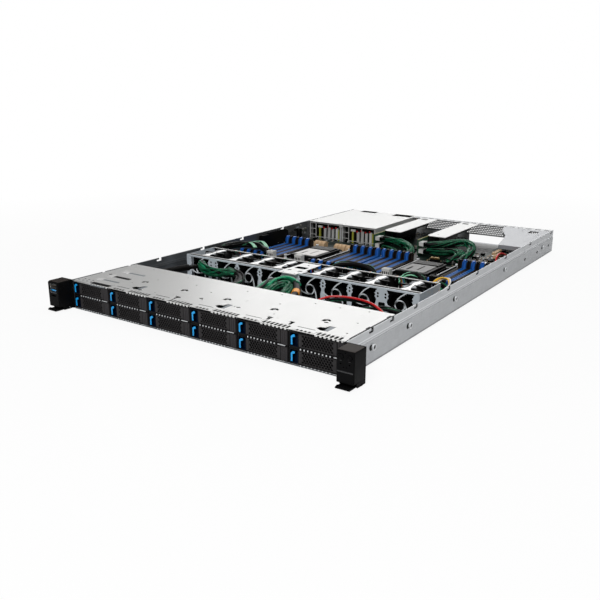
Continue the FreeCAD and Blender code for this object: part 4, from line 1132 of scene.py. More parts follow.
def grid_block(x):
    """A block with a grid of sockets in its top and ribs on its front."""
    x0, x1, y0, y1, z0, z1 = x - 6.5, x + 6.5, 316, 326, BOARD_TOP, 36.5
    across, deep = 4, 3
    stock = Stock()
    holes = []
    step_u, step_v = (x1 - x0 - 0.8) / across, (y1 - y0 - 0.8) / deep
    for i in range(across):
        for k in range(deep):
            u, v = x0 + 0.4 + i * step_u, y0 + 0.4 + k * step_v
            holes.append(oblong(u + 0.45, u + step_u - 0.45, v + 0.45, v + step_v - 0.45))
    lying(stock, z1 - 2.4, oblong(x0, x1, y0, y1), holes, 2.4, 0.08)
    stock.box(x0 + 0.1, x1 - 0.1, y0 + 0.1, y1 - 0.1, z0, z1 - 2.0, 1)
    for i in range(across):
        u = x0 + 0.4 + i * step_u
        stock.box(u + 0.7, u + step_u - 0.7, y0 - 0.15, y0 + 0.2, z0 + 2, z1 - 4, 2)
    stock.box(x0 - 0.3, x0, y0 + 2, y1 - 2, z0 + 3, z1 - 1, 0)
    return stock


grids = Stock()
for x in (-120.0, -64.0, 95.0):
    grids.copies(grid_block(x))
grids.piece("tall_connectors", "chassis", [PALE, PALE, CHIP_BLACK], ["board_parts"], smooth=20)
grid_block(171.0).piece("black_connector", "chassis", [CHIP_BLACK, CHIP_BLACK, CHIP_BLACK], smooth=20)
print("four tall connectors")

# %% [markdown]
# ## Coils and tan blocks
# Three groups of coils stand before the supplies, each under three round tan hoods. Two long tan
# blocks with gaps between their parts stand on the right.

# %% The coils


def coils():
    stock = Stock()
    for x, y in ((-146.0, 511.0), (-98.0, 506.0), (-72.0, 504.0)):
        for i in range(3):
            u = x - 12 + i * 8
            loops = []
            for share in (0.3, 1.4, 4.0, 6.6, 7.7):
                drop = 1.4 if share in (0.3, 7.7) else 0.0
                turns = [math.pi * k / 8 for k in range(9)]
                arc = [(y - 7.0 * math.cos(t), 13.6 - drop + 4.8 * math.sin(t)) for t in turns]
                ring = [(y - 7, BOARD_TOP)] + arc + [(y + 7, BOARD_TOP)]
                loops.append([(u + share, v, w) for v, w in ring])
            stock.skin(loops)
    for x, y, top in ((156.0, 628.0, 15.0), (168.0, 600.0, 16.0)):
        stock.box(x - 3.5, x + 3.5, y - 17, y + 17, BOARD_TOP, top - 3)
        for i in range(8):
            v = y - 17 + i * 4.25
            stock.box(x - 3.5, x + 3.5, v + 0.4, v + 3.9, top - 3, top)
    return stock


coils().piece("coils_and_tan_blocks", "chassis", [BEIGE])
print("nine hoods and two blocks")

# %% [markdown]
# ## The wall-side card, a header and cans
# A narrow card stands along the left wall, with a tall can and a strew of small parts behind it. A
# pin header and three cans stand on the board before the riser cards.

# %% The card and the header


def wall_card():
    stock = Stock()
    card = [(408, BOARD_TOP), (498, BOARD_TOP), (498, 34), (486, 38), (430, 38.8), (408, 36)]
    sideways(stock, -214.3, card, [], 1.4, 0.1)
    stock.box(-213.5, -208.6, 412, 430, 30, 36.5, 0)
    chance = random.Random(3)
    for _ in range(12):
        y, z = chance.uniform(420, 488), chance.uniform(9, 15)
        stock.box(-212.9, -212.2, y, y + 3.0, z, z + 1.0, chance.choice((0, 0, 1)))
    stock.turned((-208.0, 528, BOARD_TOP), UP, [(0, 5.6), (24, 5.6), (26, 4.8)], 2, 24)
    for _ in range(9):
        y, z = chance.uniform(504, 556), chance.uniform(18, 36)
        stock.box(-213.4, -213.4 + chance.uniform(1, 4), y, y + 5, z, z + 2.5, chance.choice((1, 2, 3)))
    return stock


wall_card().piece("wall_card", "chassis", [CHIP_BLACK, NICKEL, FAN_BLACK, PLAIN_GREY])


def pin_header():
    stock = Stock()
    stock.box(88, 104, 490, 496, BOARD_TOP, 18.0, 0)
    for i in range(8):
        stock.box(88.6 + i * 2, 89.8 + i * 2, 491, 495, 17.8, 21.0, 1)
    for x in (172.0, 184.0, 196.0):
        stock.turned((x, 526, BOARD_TOP), UP, [(0, 3.8), (0.6, 4.0), (7.6, 4.0), (8.2, 3.5)], 2, 24)
    return stock


pin_header().piece("header_and_cans", "chassis", [CHIP_BLACK, GOLD, NICKEL])
print("a card, a header and cans")

# %% [markdown]
# ## Processor sockets
# A dark frame is screwed to the board around each socket. Two bright rails stand on it, with a post
# at each end, and between them lies the grey plate that presses on the processor's cover.

# %% The sockets


def socket(x):
    stock = Stock()
    y = 424.0
    outline = [(x - 39, y - 46), (x - 33, y - 52), (x + 33, y - 52), (x + 39, y - 46), (x + 39, y + 46),
               (x + 33, y + 52), (x - 33, y + 52), (x - 39, y + 46)]
    lying(stock, BOARD_TOP, outline, [rounded(x - 30, x + 30, y - 42, y + 42, 2.0)], 5.0, 0.3)
    stock.box(x - 30, x + 30, y - 42, y + 42, BOARD_TOP, 9.4, 0)
    left, right = x - 31.5, x + 21.5
    post = [(0, 3.1), (1.2, 3.1), (1.4, 2.1), (5.6, 2.1), (5.9, 2.5), (7.0, 2.4), (7.0, 1.4), (5.4, 1.3)]
    stock.box(left + 2, right - 1, y - 40, y + 40, 9.4, 17.8, 0)
    plate = [(left, y - 40), (right - 4, y - 40), (right, y - 35), (right, y + 40), (left, y + 40)]
    lying(stock, 17.8, plate, [disc(left + 5, y + 35, 1.2, 12)], 1.2, 0.2)
    raised = [(left + 5.5, y - 36), (right - 8, y - 36), (right - 5.5, y - 33), (right - 5.5, y + 12),
              (left + 5.5, y + 12)]
    slits = [oblong(left + 14, left + 17, y - 30, y - 8), oblong(left + 30, left + 32, y - 24, y + 4)]
    lying(stock, 19.0, raised, slits, 1.0, 0.3, 1)
    stock.box(left + 4, right - 4, y + 15, y + 37, 18.9, 20.6, 0)
    for i in range(3):
        stock.box(left + 6, right - 6, y + 17 + i * 7, y + 18.2 + i * 7, 20.6, 20.9, 3)
    for side in (-1, 1):
        mid = x + side * 34.5
        stock.box(mid - 1.4, mid + 1.4, y - 48, y + 48, 12.6, 16.6, 0)
        stock.turned((mid, y - 46, 16.9), BACK, [(0, 0.8), (92, 0.8)], 2, 12)
        stock.box(mid - 3.3, mid - 2.6, y - 44, y + 44, 12.6, 15.4, 2)
        for end in (-1, 1):
            stock.turned((mid, y + end * 50.3, 12.4), UP, post, 2, 20)
        stock.box(mid - 3.4, mid + 3.4, y - 12, y + 12, 12.6, 13.8, 0)
    stock.box(right + 0.5, right + 3.0, y - 30, y + 30, 12.6, 15.4, 0)
    return stock


PALE_PLATE = zinc("pale plate", (0.60, 0.58, 0.56), 0.40, 0.5, 0.12, (40, 9, 40))
PLATE_GREY = zinc("plate grey", (0.14, 0.138, 0.135), 0.40, 0.5, 0.16, (40, 9, 40))
socket(-95.5).piece("processor_socket_left", "chassis", [CHIP_BLACK, PALE_PLATE, BRIGHT_STEEL, PLATE_GREY],
                    ["cpu_sockets"])
socket(108.0).piece("processor_socket_right", "chassis", [CHIP_BLACK, PLATE_GREY, BRIGHT_STEEL, PLATE_GREY])
print("two sockets")

# %% [markdown]
# ## Memory slots
# Each slot is a long grooved body between two latch towers. A tower is two cheeks with a latch
# between them, whose head leans out for the thumb. Blue and brownish black slots take turns.

# %% The memory slots


def memory_slot():
    stock = Stock()
    front, rear = 328.0, 471.0
    stock.box(-3.1, -0.8, front + 7.5, rear - 7.5, BOARD_TOP, 17.1)
    stock.box(0.8, 3.1, front + 7.5, rear - 7.5, BOARD_TOP, 17.1)
    stock.box(-0.8, 0.8, front + 7.5, rear - 7.5, BOARD_TOP, 11.1, 2)
    stock.box(-0.8, 0.8, 395.0, 397.4, 11.1, 16.0)
    for i in range(36):
        y = front + 10 + i * 3.4
        stock.box(-3.15, -2.6, y, y + 1.6, 8.2, 16.2, 0)
    for end, way in ((front, 1), (rear, -1)):
        for side in (-1, 1):
            loops = []
            for z, out, deep in ((BOARD_TOP, 0.0, 8.0), (22.0, 0.0, 8.0), (25.0, 0.0, 7.4),
                                 (27.5, 0.0, 6.4)):
                a, b = end + way * out, end + way * deep
                x0, x1 = (-3.1, -1.9) if side < 0 else (1.9, 3.1)
                loops.append([(x0, a, z), (x1, a, z), (x1, b, z), (x0, b, z)])
            stock.skin(loops)
        loops = []
        for z, near, deep in ((9.0, 1.2, 5.4), (24.0, 1.2, 5.4), (27.0, 0.5, 5.8), (29.2, 0.0, 6.6),
                              (30.0, 0.4, 6.2)):
            a, b = end + way * near, end + way * deep
            loops.append([(-1.8, a, z), (1.8, a, z), (1.8, b, z), (-1.8, b, z)])
        stock.skin(loops, 1)
        stock.box(-3.1, 3.1, min(end + way * 0.2, end + way * 7.8), max(end + way * 0.2, end + way * 7.8),
                  BOARD_TOP, 13.0)
    return stock


SLOT_PITCH = 7.35
SLOT_GROUPS = [(-191.0, "blue"), (-51.0, "black"), (12.7, "blue"), (151.7, "black")]
slot_finishes = {"blue": [SLOT_BLUE, TOWER_TOP, CHIP_BLACK], "black": [SLOT_BLACK, TOWER_BLACK, CHIP_BLACK]}
for colour, finishes in slot_finishes.items():
    rows = Stock()
    one = memory_slot()
    for left, first in SLOT_GROUPS:
        start = 0 if first == colour else 1
        rows.copies(one, [(left + i * SLOT_PITCH, 0, 0) for i in range(start, 8, 2)])
    rows.piece(colour + "_memory_slots", "chassis", finishes, ["memory_slots_" + colour])
print("thirty-two slots")

# %% [markdown]
# ## The power supplies
# Two supplies slide in from the rear. Their front is a grid of openings through which cans, coils
# and lime tape show. At the rear each has an inlet, a fan grille, an orange latch and a flat looped
# handle.

# %% The supplies


def supply(x0, number):
    x1 = x0 + 73.5
    y0, y1, z0, z1 = 578.0, 754.0, 1.1, 39.1
    stock = Stock()
    levels = [z0 + 2.0 + row * 11.6 for row in range(3)]
    holes = [rounded(x0 + 2.4, x0 + 14.4, v, v + 10.4, 0.8, 2) for v in levels]
    for a, b in ((15.8, 43.6), (44.8, 71.4)):
        holes.append(rounded(x0 + a, x0 + b, z0 + 9.4, z0 + 36.0, 0.8, 2))
        holes.append(rounded(x0 + a, x0 + b, z0 + 2.0, z0 + 8.2, 0.8, 2))
    facing(stock, y0, oblong(x0, x1, z0, z1), holes, SHEET, 0.08)
    for a0, a1, b0, b1 in ((x0, x0 + 0.8, z0, z1), (x1 - 0.8, x1, z0, z1), (x0, x1, z0, z0 + 0.8),
                           (x0, x1, z1 - 0.8, z1)):
        stock.box(a0, a1, y0 + 0.8, y1, b0, b1, 0)
    chance = random.Random(20 + number)
    for u, wide in ((23.0, 1.4), (67.5, 0.9)):
        stock.box(x0 + u - wide, x0 + u + wide, y0 + 2.0, y0 + 5.0, z0 + 4, z0 + 27.0, 3)
    for i in range(4):
        u, tall = x0 + 33.0 + i * 9.3, 25 + (i % 2) * 2.0
        can = [(0, 2.7), (0.8, 3.0), (tall, 3.0), (tall + 0.6, 2.5)]
        stock.turned((u, y0 + 7, z0 + 0.8), UP, can, 2 if i % 2 else 0, 16)
        stock.turned((u - 1, y0 + 4, z0 + 1.6 + tall), UP, [(0, 1.6), (2.6, 1.6)], 4, 12)
    stock.box(x0 + 17, x0 + 27, y0 + 5, y0 + 7, z0 + 27, z0 + 31, 2)
    stock.box(x0 + 1, x1 - 1, y0 + 11, y0 + 12, z0 + 1, z1 - 1, 1)
    stock.box(x0 + 5, x1 - 5, y0 + 22, y0 + 60, z0 + 0.8, z0 + 24, 1)
    stock.box(x0 + 3, x1 - 3, y0 + 16, y0 + 17.4, z0 + 2, z0 + 34, 4)
    for i in range(14):
        u = chance.uniform(x0 + 3, x1 - 8)
        stock.box(u, u + 3, y0 + 2.5, y0 + 5.0, z0 + 1.5, z0 + chance.uniform(3, 7),
                  chance.choice((1, 1, 0, 2)))
    inlet, fan_x, level = x0 + 20.0, x1 - 20.0, (z0 + z1) / 2
    back = [rounded(inlet - 12.5, inlet + 12.5, level - 8.5, level + 8.5, 2.5),
            disc(fan_x, level, 15.0, 40)]
    facing(stock, y1 - 1.0, oblong(x0 + 0.8, x1 - 0.8, z0 + 0.8, z1 - 0.8), back, 1.0, 0.1)
    cup = rounded(inlet - 13.3, inlet + 13.3, level - 9.3, level + 9.3, 2.8)
    facing(stock, y1 - 15.0, cup, [back[0]], 14.0, 0.1, 5)
    stock.box(inlet - 12.8, inlet + 12.8, y1 - 15.6, y1 - 14.6, level - 8.8, level + 8.8, 5)
    for u, v in ((-7, -1.5), (0, 2.5), (7, -1.5)):
        stock.box(inlet + u - 1.0, inlet + u + 1.0, y1 - 14.6, y1 - 4.0, level + v - 2.2, level + v + 2.2,
                  6)
    for r in (4.6, 9.4, 14.2):
        facing(stock, y1 - 1.3, disc(fan_x, level, r + 0.6, 36), [disc(fan_x, level, r - 0.6, 36)], 1.2,
               0.2, 6)
    for turn in range(4):
        t = math.radians(45 + 90 * turn)
        a = (math.cos(t), math.sin(t))
        edges = ((-0.6, y1 - 1.3), (-0.6, y1 - 0.2), (0.6, y1 - 0.2), (0.6, y1 - 1.3))
        stock.skin([[(fan_x + a[0] * r + a[1] * s, y, level + a[1] * r - a[0] * s) for s, y in edges]
                    for r in (3.0, 15.0)], 6)
    stock.turned((fan_x, y1 - 8.0, level), BACK, [(0, 15.0), (0.4, 15.0)], 5, 32)
    stock.turned((fan_x, y1 - 7.4, level), BACK, [(0, 6.5), (4.5, 6.5), (4.9, 6.0)], 5, 28)
    path = [(fan_x - 12.5, y1 - 0.5), (fan_x - 12.5, y1 + 19.5), (fan_x - 11.4, y1 + 21.6),
            (fan_x - 9.2, y1 + 22.5), (fan_x + 7.4, y1 + 22.5), (fan_x + 9.5, y1 + 21.6),
            (fan_x + 10.5, y1 + 19.5), (fan_x + 10.5, y1 - 0.5)]
    stock.skin([[(*p, z0 + 6.4), (*q, z0 + 6.4), (*q, z0 + 13.6), (*p, z0 + 13.6)] for p,
                q in strip(path, 1.45)], 5)
    stock.box(x1 - 6.5, x1 - 3.5, y1 - 0.5, y1 + 13.0, z0 + 18, z1 - 6, 7)
    stock.box(x1 - 7.2, x1 - 2.8, y1 + 11.5, y1 + 15.0, z0 + 17.5, z1 - 5.5, 7)
    return stock


supply_finishes = [COVER_STEEL, CHIP_BLACK, PALE, LIME, RED, FAN_BLACK, BRIGHT_STEEL, ORANGE]
for number in range(2):
    name = "psu_%d" % (number + 1)
    supply(-216.6 + 76.7 * number, number).piece("supply_%d" % (number + 1), name, supply_finishes, [name])
print("two supplies")

# %% [markdown]
# ## The supplies' cage
# The cage is a folded sheet over both supplies, with a pierced wall on its right and a thin one
# between them. Flat screw heads sit in its top.

# %% The cage


def supply_cage():
    stock = Stock()
    holes = [oblong(-190, -154, 736, 755), oblong(-110, -68, 730, 755), disc(-205, 586, 1.6, 14),
             disc(-76, 586, 1.6, 14), disc(-140, 590, 1.6, 14), rounded(-150.5, -139.5, 578.5, 582.5, 0.8)]
    lying(stock, ROOF, oblong(-217.0, -63.6, 576.0, 753.1), holes, SHEET, 0.1)
    sideways(stock, -64.4, oblong(576.0, 753.1, 0.9, 39.8),
             [disc(600 + i * 24, 20, 3.5, 16) for i in range(6)], SHEET, 0.08)
    stock.box(-141.9, -141.1, 576.0, 753.1, 0.9, 39.8)
    stock.box(-145.2, -137.4, 575.2, 576.1, 34.6, 40.5)
    for u, v in ((-190, 606), (-165, 640), (-120, 612), (-90, 650), (-180, 700), (-130, 690), (-95, 706),
                 (-150, 735), (-205, 655), (-108, 575.9 + 12)):
        stock.turned((u, v, 40.55), UP, [(-0.3, 2.1), (0.1, 2.0), (0.14, 1.5), (-0.15, 0.8)], 0, 16)
    return stock


supply_cage().piece("supply_cage", "chassis", [COVER_STEEL], ["psu_cage"])
print("a cage over the supplies")

# %% [markdown]
# ## The risers
# Each riser is an upright green card beside a pale bracket. Cards plug in sideways, under the
# bracket's top plate, into a long slot on the card.

# %% The risers


def riser(x):
    stock = Stock()
    left, right = x + 1.8, x + 37.8
    outline = [(left, 576), (left + 6, 570), (right, 570), (right, 695), (right - 0.1, 735), (left, 735)]
    holes = [rounded(left + 6, left + 19, 719, 730, 1.0), disc(left + 14, 590, 2.0, 18),
             disc(left + 30, 712, 1.6, 14), disc(left + 28, 578, 1.4, 12)]
    lying(stock, ROOF, outline, holes, SHEET, 0.12)
    stock.box(left + 6.2, left + 18.8, 719.2, 729.8, 39.7, 40.5, 3)
    sideways(stock, left, oblong(578, 712, 8.0, 39.9), [rounded(600, 690, 14, 33, 2)], SHEET, 0.1, 3)
    stock.box(left, right, 734.2, 735.0, 38.0, 40.2, 0)
    stock.box(right - 0.8, right, 571, 694, 36.5, 39.7, 3)
    card = [(536, 12.0), (542, BOARD_TOP), (712, BOARD_TOP), (712, 38.1), (536, 38.1)]
    sideways(stock, x + 0.05, card, [disc(548, 33, 1.3, 12), disc(704, 33, 1.3, 12)], 1.5, 0.0, 1)
    stock.box(x, x + 1.6, 536, 712, 38.0, 38.2, 2)
    stock.box(left + 0.8, left + 7.8, 610, 700, 18, 30, 3)
    stock.box(left + 7.7, left + 8.0, 612, 698, 22.4, 25.6, 4)
    for i in range(28):
        stock.box(left + 7.6, left + 7.9, 613 + i * 3, 614.4 + i * 3, 20.5, 27.5, 4)
    chance = random.Random(int(x) + 90)
    for i in range(70):
        y, z = chance.uniform(540, 704), chance.uniform(10, 34)
        wide, tall = chance.choice(((1.2, 0.8), (2.2, 1.2), (3.5, 3.0), (6.0, 5.0)))
        stock.box(x - 0.25 * tall - 0.2, x + 0.1, y, y + wide, z, z + tall, chance.choice((5, 5, 3, 6)))
    return stock


riser_finishes = [COVER_STEEL, CARD_GREEN, BOARD_EDGE, CHIP_BLACK, FAN_BLACK, CHIP_BLACK, PALE]
for number, x in enumerate((-46.0, 42.0)):
    name = "riser_%d" % (number + 1)
    stock = riser(x)
    for level in (30.0, 17.0):
        stock.box(x + 1.6, x + 9.0, 539.4, 555.6, level - 3.4, level + 3.4, 6)
        stock.box(x + 8.4, x + 10.2, 539, 556, level - 3.9, level + 3.9, 6)
        stock.box(x + 10.0, x + 14.6, 540, 555, level - 3, level + 3, 4)
    stock.piece("dressed_" + name, "chassis", riser_finishes, [name])
print("two risers")

# %% [markdown]
# ## The rear wall
# The rear wall has pierced blanks, ports in bright shells and a card bay, and its flange carries a row of
# slots. The blanks are drawn in darker steels as painted shade, and a thin dark plate lies in the card bay
# as painted shade.

# %% The rear wall
PORTS = ((145.0, 14.6, 12.4, 16.0), (162.5, 14.6, 12.4, 16.0), (196.0, 26.0, 10.2, 12.0))


def rear_wall():
    """Three plates with their flanges, two pierced blanks and three ports."""
    stock = Stock()
    for left, right, windows in ((-63.3, 42.9, [(-40, 38)]), (43.1, 134.3, [(48, 126)]),
                                 (134.5, 217.3, [])):
        holes = [oblong(a, b, 17.5, 37.0) for a, b in windows]
        outline = oblong(left, right, 0.9, 39.8)
        if left > 0 and windows:
            outline[1:1] = [(55, 0.9), (55, 16.5), (131, 16.5), (131, 0.9)]
        for port, wide, tall, _ in PORTS:
            if left < port < right:
                holes.append(rounded(port - wide / 2, port + wide / 2, 15.4 - tall / 2, 15.4 + tall / 2,
                                     0.6, 2))
        if left > 100:
            for u, count in ((180, 10), (140, 9)):
                holes += [disc(u + i * 3.6, 28 + k * 3.4, 1.2, 6, 30) for i in range(count)
                          for k in range(3)]
        facing(stock, 753.15, outline, holes, SHEET, 0.08)
        slots = []
        count = int((right - left) / 14.8)
        for i in range(count):
            u = left + (i + 0.5) * (right - left) / count
            slots.append(rounded(u - 5.2, u + 5.2, 741, 746.5, 1.2, 3))
            slots.append(disc(u, 750, 0.9, 10))
        lying(stock, ROOF, oblong(left, right, 736.0, 753.9), slots, SHEET, 0.1)
    for left in (-40, 48):
        holes = []
        for i in range(22):
            for k in range(5):
                u, v = left + 3.4 + i * 3.4 + (k % 2) * 1.7, 20.0 + k * 3.5
                if u < left + 75.5:
                    holes.append(disc(u, v, 1.15, 6, 30))
        # The pierced blanks are in darker steels as painted shade: the left one in the shaded steel, the
        # right one half-shaded.
        facing(stock, 752.3, oblong(left - 1.2, left + 79.2, 16.3, 38.2), holes, SHEET, 0.08,
               4 if left < 0 else 5)
    for port, wide, tall, deep in PORTS:
        outer = rounded(port - wide / 2 + 0.1, port + wide / 2 - 0.1, 15.5 - tall / 2, 15.3 + tall / 2, 0.5,
                        2)
        inner = rounded(port - wide / 2 + 0.9, port + wide / 2 - 0.9, 16.3 - tall / 2, 14.5 + tall / 2, 0.4,
                        2)
        facing(stock, 754.0 - deep, outer, [inner], deep - 0.1, 0.05, 1)
        stock.box(port - wide / 2 + 0.5, port + wide / 2 - 0.5, 754 - deep, 756 - deep, 15.9 - tall / 2,
                  14.9 + tall / 2, 2)
        if wide < 20:
            for i in range(8):
                stock.box(port - 4.4 + i * 1.15, port - 3.9 + i * 1.15, 742, 751, 20.0, 20.4, 3)
        else:
            for i in range(9):
                stock.box(port - 8.8 + i * 2.0, port - 7.9 + i * 2.0, 744, 749, 14.0 + (i % 2) * 2.2,
                          14.8 + (i % 2) * 2.2, 3)
    return stock


rear_finishes = [GREY_STEEL, BRIGHT_STEEL, CHIP_BLACK, GOLD, SHADOW_STEEL, HALF_SHADED_STEEL]
rear_wall().piece("rear_wall", "chassis", rear_finishes, ["rear_panel"])
# A dark plate on the card bay's floor is painted shade.
card_bay_shade = lying(Stock(), 0.9, rounded(46, 134, 628, 742, 2.0), [], 0.25)
card_bay_shade.piece("painted_shade_in_card_bay", "chassis", [PLATE_GREY])
print("a rear wall with", len(PORTS), "ports")

# %% [markdown]
# ## The corner cover
# A slanted plate covers the right rear corner. Its front and its right edge are bent down, and one
# window and three screw holes are cut in it.

# %% The corner cover


def corner_cover():
    stock = Stock()
    outline = [(178, 566), (217.2, 566), (217.2, 735), (130, 735), (138, 703), (162, 650)]
    holes = [oblong(186, 202, 700, 722), disc(184, 574, 1.6, 14), disc(208, 690, 1.6, 14),
             disc(170, 722, 1.6, 14)]
    lying(stock, ROOF, outline, holes, SHEET, 0.12)
    stock.box(178, 217.2, 566, 566.8, 33.6, 40.0)
    stock.box(216.4, 217.2, 566, 735, 28.6, 40.0)
    return stock


corner_cover().piece("corner_cover", "chassis", [CORNER_STEEL], ["rear_cover"])
print("the rear is closed")

# %% [markdown]
# ## The ears
# A moulded housing covers each rack flange. The left ear has two ports with tongues, and the right
# one two round openings for its buttons, with small light holes under them. The housing is hollow,
# and a flat flange lies behind it.

# %% The ears


def ear(x0, x1, ports, buttons):
    stock = Stock()
    middle = (x0 + x1) / 2
    holes = [rounded(middle - 6.5, middle + 6.5, level - 2.8, level + 2.8, 0.5, 2) for level in ports]
    centres = [middle + way * 5.1 for way in (-1, 1)] if buttons else []
    holes += [disc(u, 34.2, 3.3, 32) for u in centres] + [disc(u, 26.8, 0.9, 12) for u in centres]
    if buttons:
        holes += [disc(middle, 38.7, 0.7, 12), disc(middle - 1.7, 23.4, 0.6, 10),
                  disc(middle + 1.7, 23.4, 0.6, 10)]
    else:
        holes.append(rounded(middle - 5, middle + 5, 20.5, 22.5, 0.9, 3))
    outline = rounded(x0 + 0.5, x1 - 0.5, 6.2, 39.9, 0.8, 3)
    facing(stock, -23.5, outline, holes, 1.6, 0.25)
    shell = rounded(x0, x1, 6.0, 40.6, 1.2, 3)
    facing(stock, -22.7, shell, [rounded(x0 + 1.2, x1 - 1.2, 7.2, 39.4, 0.8, 2)], 20.6, 0.3)
    stock.box(x0 + 1.0, x1 - 1.0, -9.0, -8.0, 7.0, 39.6, 0)
    lying(stock, 40.4, rounded(x0 + 0.5, x1 - 0.5, -22.0, -2.2, 1.4, 3), [], 0.6, 0.2, 1)
    outer, bend, inner = (x0, -219.2, -217.9) if x0 < 0 else (x1, 219.2, 217.9)
    stock.box(min(outer, bend), max(outer, bend), -2.0, 0.0, 1.0, 40.9, 2)
    stock.box(min(inner, bend), max(inner, bend), -2.0, -0.12, 1.0, 40.9, 2)
    hinge = [(-17.5, 7.0), (-17.5, 3.0), (-15.5, 1.0), (-1.0, 1.0), (-1.0, 7.0)]
    for x in (x0, x1 - 1.6):
        sideways(stock, x, hinge, [disc(-7.0, 2.1, 1.3, 14)], 1.6, 0.15)
    for level in ports:
        shell = rounded(middle - 6.9, middle + 6.9, level - 3.2, level + 3.2, 0.7, 2)
        mouth = rounded(middle - 6.2, middle + 6.2, level - 2.5, level + 2.5, 0.4, 2)
        facing(stock, -22.9, shell, [mouth], 12.5, 0.1, 3)
        stock.box(middle - 5.6, middle + 5.6, -21.6, -9.5, level + 0.2, level + 1.9, 4 if level < 30 else 6)
        for i in range(4):
            stock.box(middle - 4.4 + i * 2.5, middle - 3.1 + i * 2.5, -21.4, -12, level + 0.0, level + 0.25,
                      5)
    if buttons:
        # The ridge and the two small embosses on the side are faint grey as painted highlights.
        ridge = ((-23.3, 17.5), (-24.0, 18.2), (-24.0, 18.8), (-23.3, 19.3))
        stock.skin([[(x, y, z) for y, z in ridge] for x in (x0 + 1.3, x1 - 1.3)], 6)
        for y0, y1 in ((-15.0, -12.6), (-11.6, -9.4)):
            stock.box(x1 - 0.25, x1 - 0.02, y0, y1, 9.4, 11.6, 6)
        for u in centres:
            stock.box(u - 1.3, u + 1.3, -23.56, -23.4, 30.0, 30.35, 6)
    stock.turned((x0 + 9, -1.9, 3.6), (0, -1, 0), [(0, 2.2), (0.9, 2.1), (1.2, 1.5), (0.5, 0.8)], 3, 18)
    return stock


FAINT_GREY = moulded("faint grey", (0.050, 0.050, 0.052), 0.45, 0.1, 0.3)
ear_finishes = [EAR_BLACK, EAR_BROWN, EAR_BLACK, NICKEL, CATCH_BLUE, GOLD, FAINT_GREY]
ear(-241.0, -220.0, (34.9, 27.6), False).piece("dressed_ear_left", "chassis", ear_finishes, ["ear_left"])
ear(220.0, 241.0, (), True).piece("dressed_ear_right", "chassis", ear_finishes, ["ear_right"])
print("two ears")

# %% [markdown]
# ## Tabs and buttons
# Under each ear a ribbed tab turns on a pin and lets the server go. The right ear's two buttons are
# turned forms with dished faces. The tabs share one mesh.

# %% The tabs and the buttons


def tab():
    stock = Stock()
    outline = [(-7, 1.2), (-7, 3.0), (-22.5, 3.0), (-25.0, 3.9), (-28.5, 2.6), (-28.5, 1.4), (-22.5, 1.2)]
    sideways(stock, 1.9, outline[::-1], [], 17.2, 0.2)
    for i in range(6):
        stock.box(3.0 + i * 2.75, 4.2 + i * 2.75, -27.9, -24.6, 2.6, 4.15)
    stock.turned((1.9, -7, 2.1), RIGHT, [(0, 1.2), (17.2, 1.2)], 0, 16)
    stock.turned((1.1, -7, 2.1), RIGHT, [(0, 0.9), (18.8, 0.9)], 0, 16)
    return stock


def push_button(x):
    """A button whose face is dished."""
    profile = [(-23.35, 0.25), (-23.45, 1.2), (-23.85, 2.1), (-24.2, 2.45), (-24.2, 2.8), (-23.9, 3.0),
               (-19.6, 3.0)]
    return Stock().turned((x, 0, 34.2), BACK, profile, 0, 32)


tab_mesh = tab().mesh("release tab", [EAR_BLACK])
for side, x in (("left", -241.0), ("right", 220.0)):
    name = "release_tab_" + side
    placed("dressed_" + name, tab_mesh, name, [name], at=(x, 0, 0))
for name, x in (("power_button", 225.4), ("id_button", 235.6)):
    push_button(x).piece("dressed_" + name, name, [EAR_BLACK], [name])
print("two tabs and two buttons")

# %% [markdown]
# ## Looms and leads
# A loom is a bundle of green and black strands that wander round one smooth line and draw together
# at both ends. Where it is taped, a ridged black sleeve runs with them. Every point of the line has
# two directions across it, and all tubes are drawn in these.

# %% The strands


def smooth(corners):
    """A smooth line that starts and ends at the end corners and is pulled by those between."""
    steps = 9
    p = [Vector(c) for c in corners]
    line = [p[0]]
    for i in range(1, len(p) - 1):
        a = p[0] if i == 1 else (p[i - 1] + p[i]) / 2
        b = p[-1] if i == len(p) - 2 else (p[i] + p[i + 1]) / 2
        for k in range(1, steps + 1):
            t = k / steps
            line.append(a * (1 - t) ** 2 + p[i] * (2 * t * (1 - t)) + b * t ** 2)
    return line


def framed(line):
    """Each point of a line with the directions across it and the way run so far."""
    run = 0.0
    for i, point in enumerate(line):
        run += (point - line[i - 1]).length if i else 0.0
        along = (line[min(i + 1, len(line) - 1)] - line[max(i - 1, 0)]).normalized()
        side = along.cross(Vector((0, 0, 1)))
        side = side.normalized() if side.length > 0.2 else along.cross(Vector((0, 1, 0))).normalized()
        yield point, side, side.cross(along), run


def length(line):
    """How long a line is."""
    return sum((b - a).length for a, b in zip(line, line[1:]))


def sleeve(stock, corners, radius, kind, sides, ridges=0, depth=0.0, twist=0.0, flat=1.0,
           spans=((0, 1),), grow=1.0):
    """A tube with twisted ridges on those spans of a smooth line, given as shares of its length."""
    line = smooth(corners)
    total = length(line)
    loops, shares = [], []
    for point, side, up, run in framed(line):
        ring = []
        for k in range(sides):
            t = 2 * math.pi * k / sides
            r = radius * (1 + depth * math.cos(ridges * t + twist * run) if ridges else 1.0)
            ring.append(point + side * (r * math.cos(t)) + up * (r * flat * math.sin(t)))
        loops.append([point + (p - point) * grow for p in ring])
        shares.append(run / total)
    for low, high in spans:
        stock.skin([loop for loop, share in zip(loops, shares) if low - 0.02 <= share <= high + 0.02], kind)


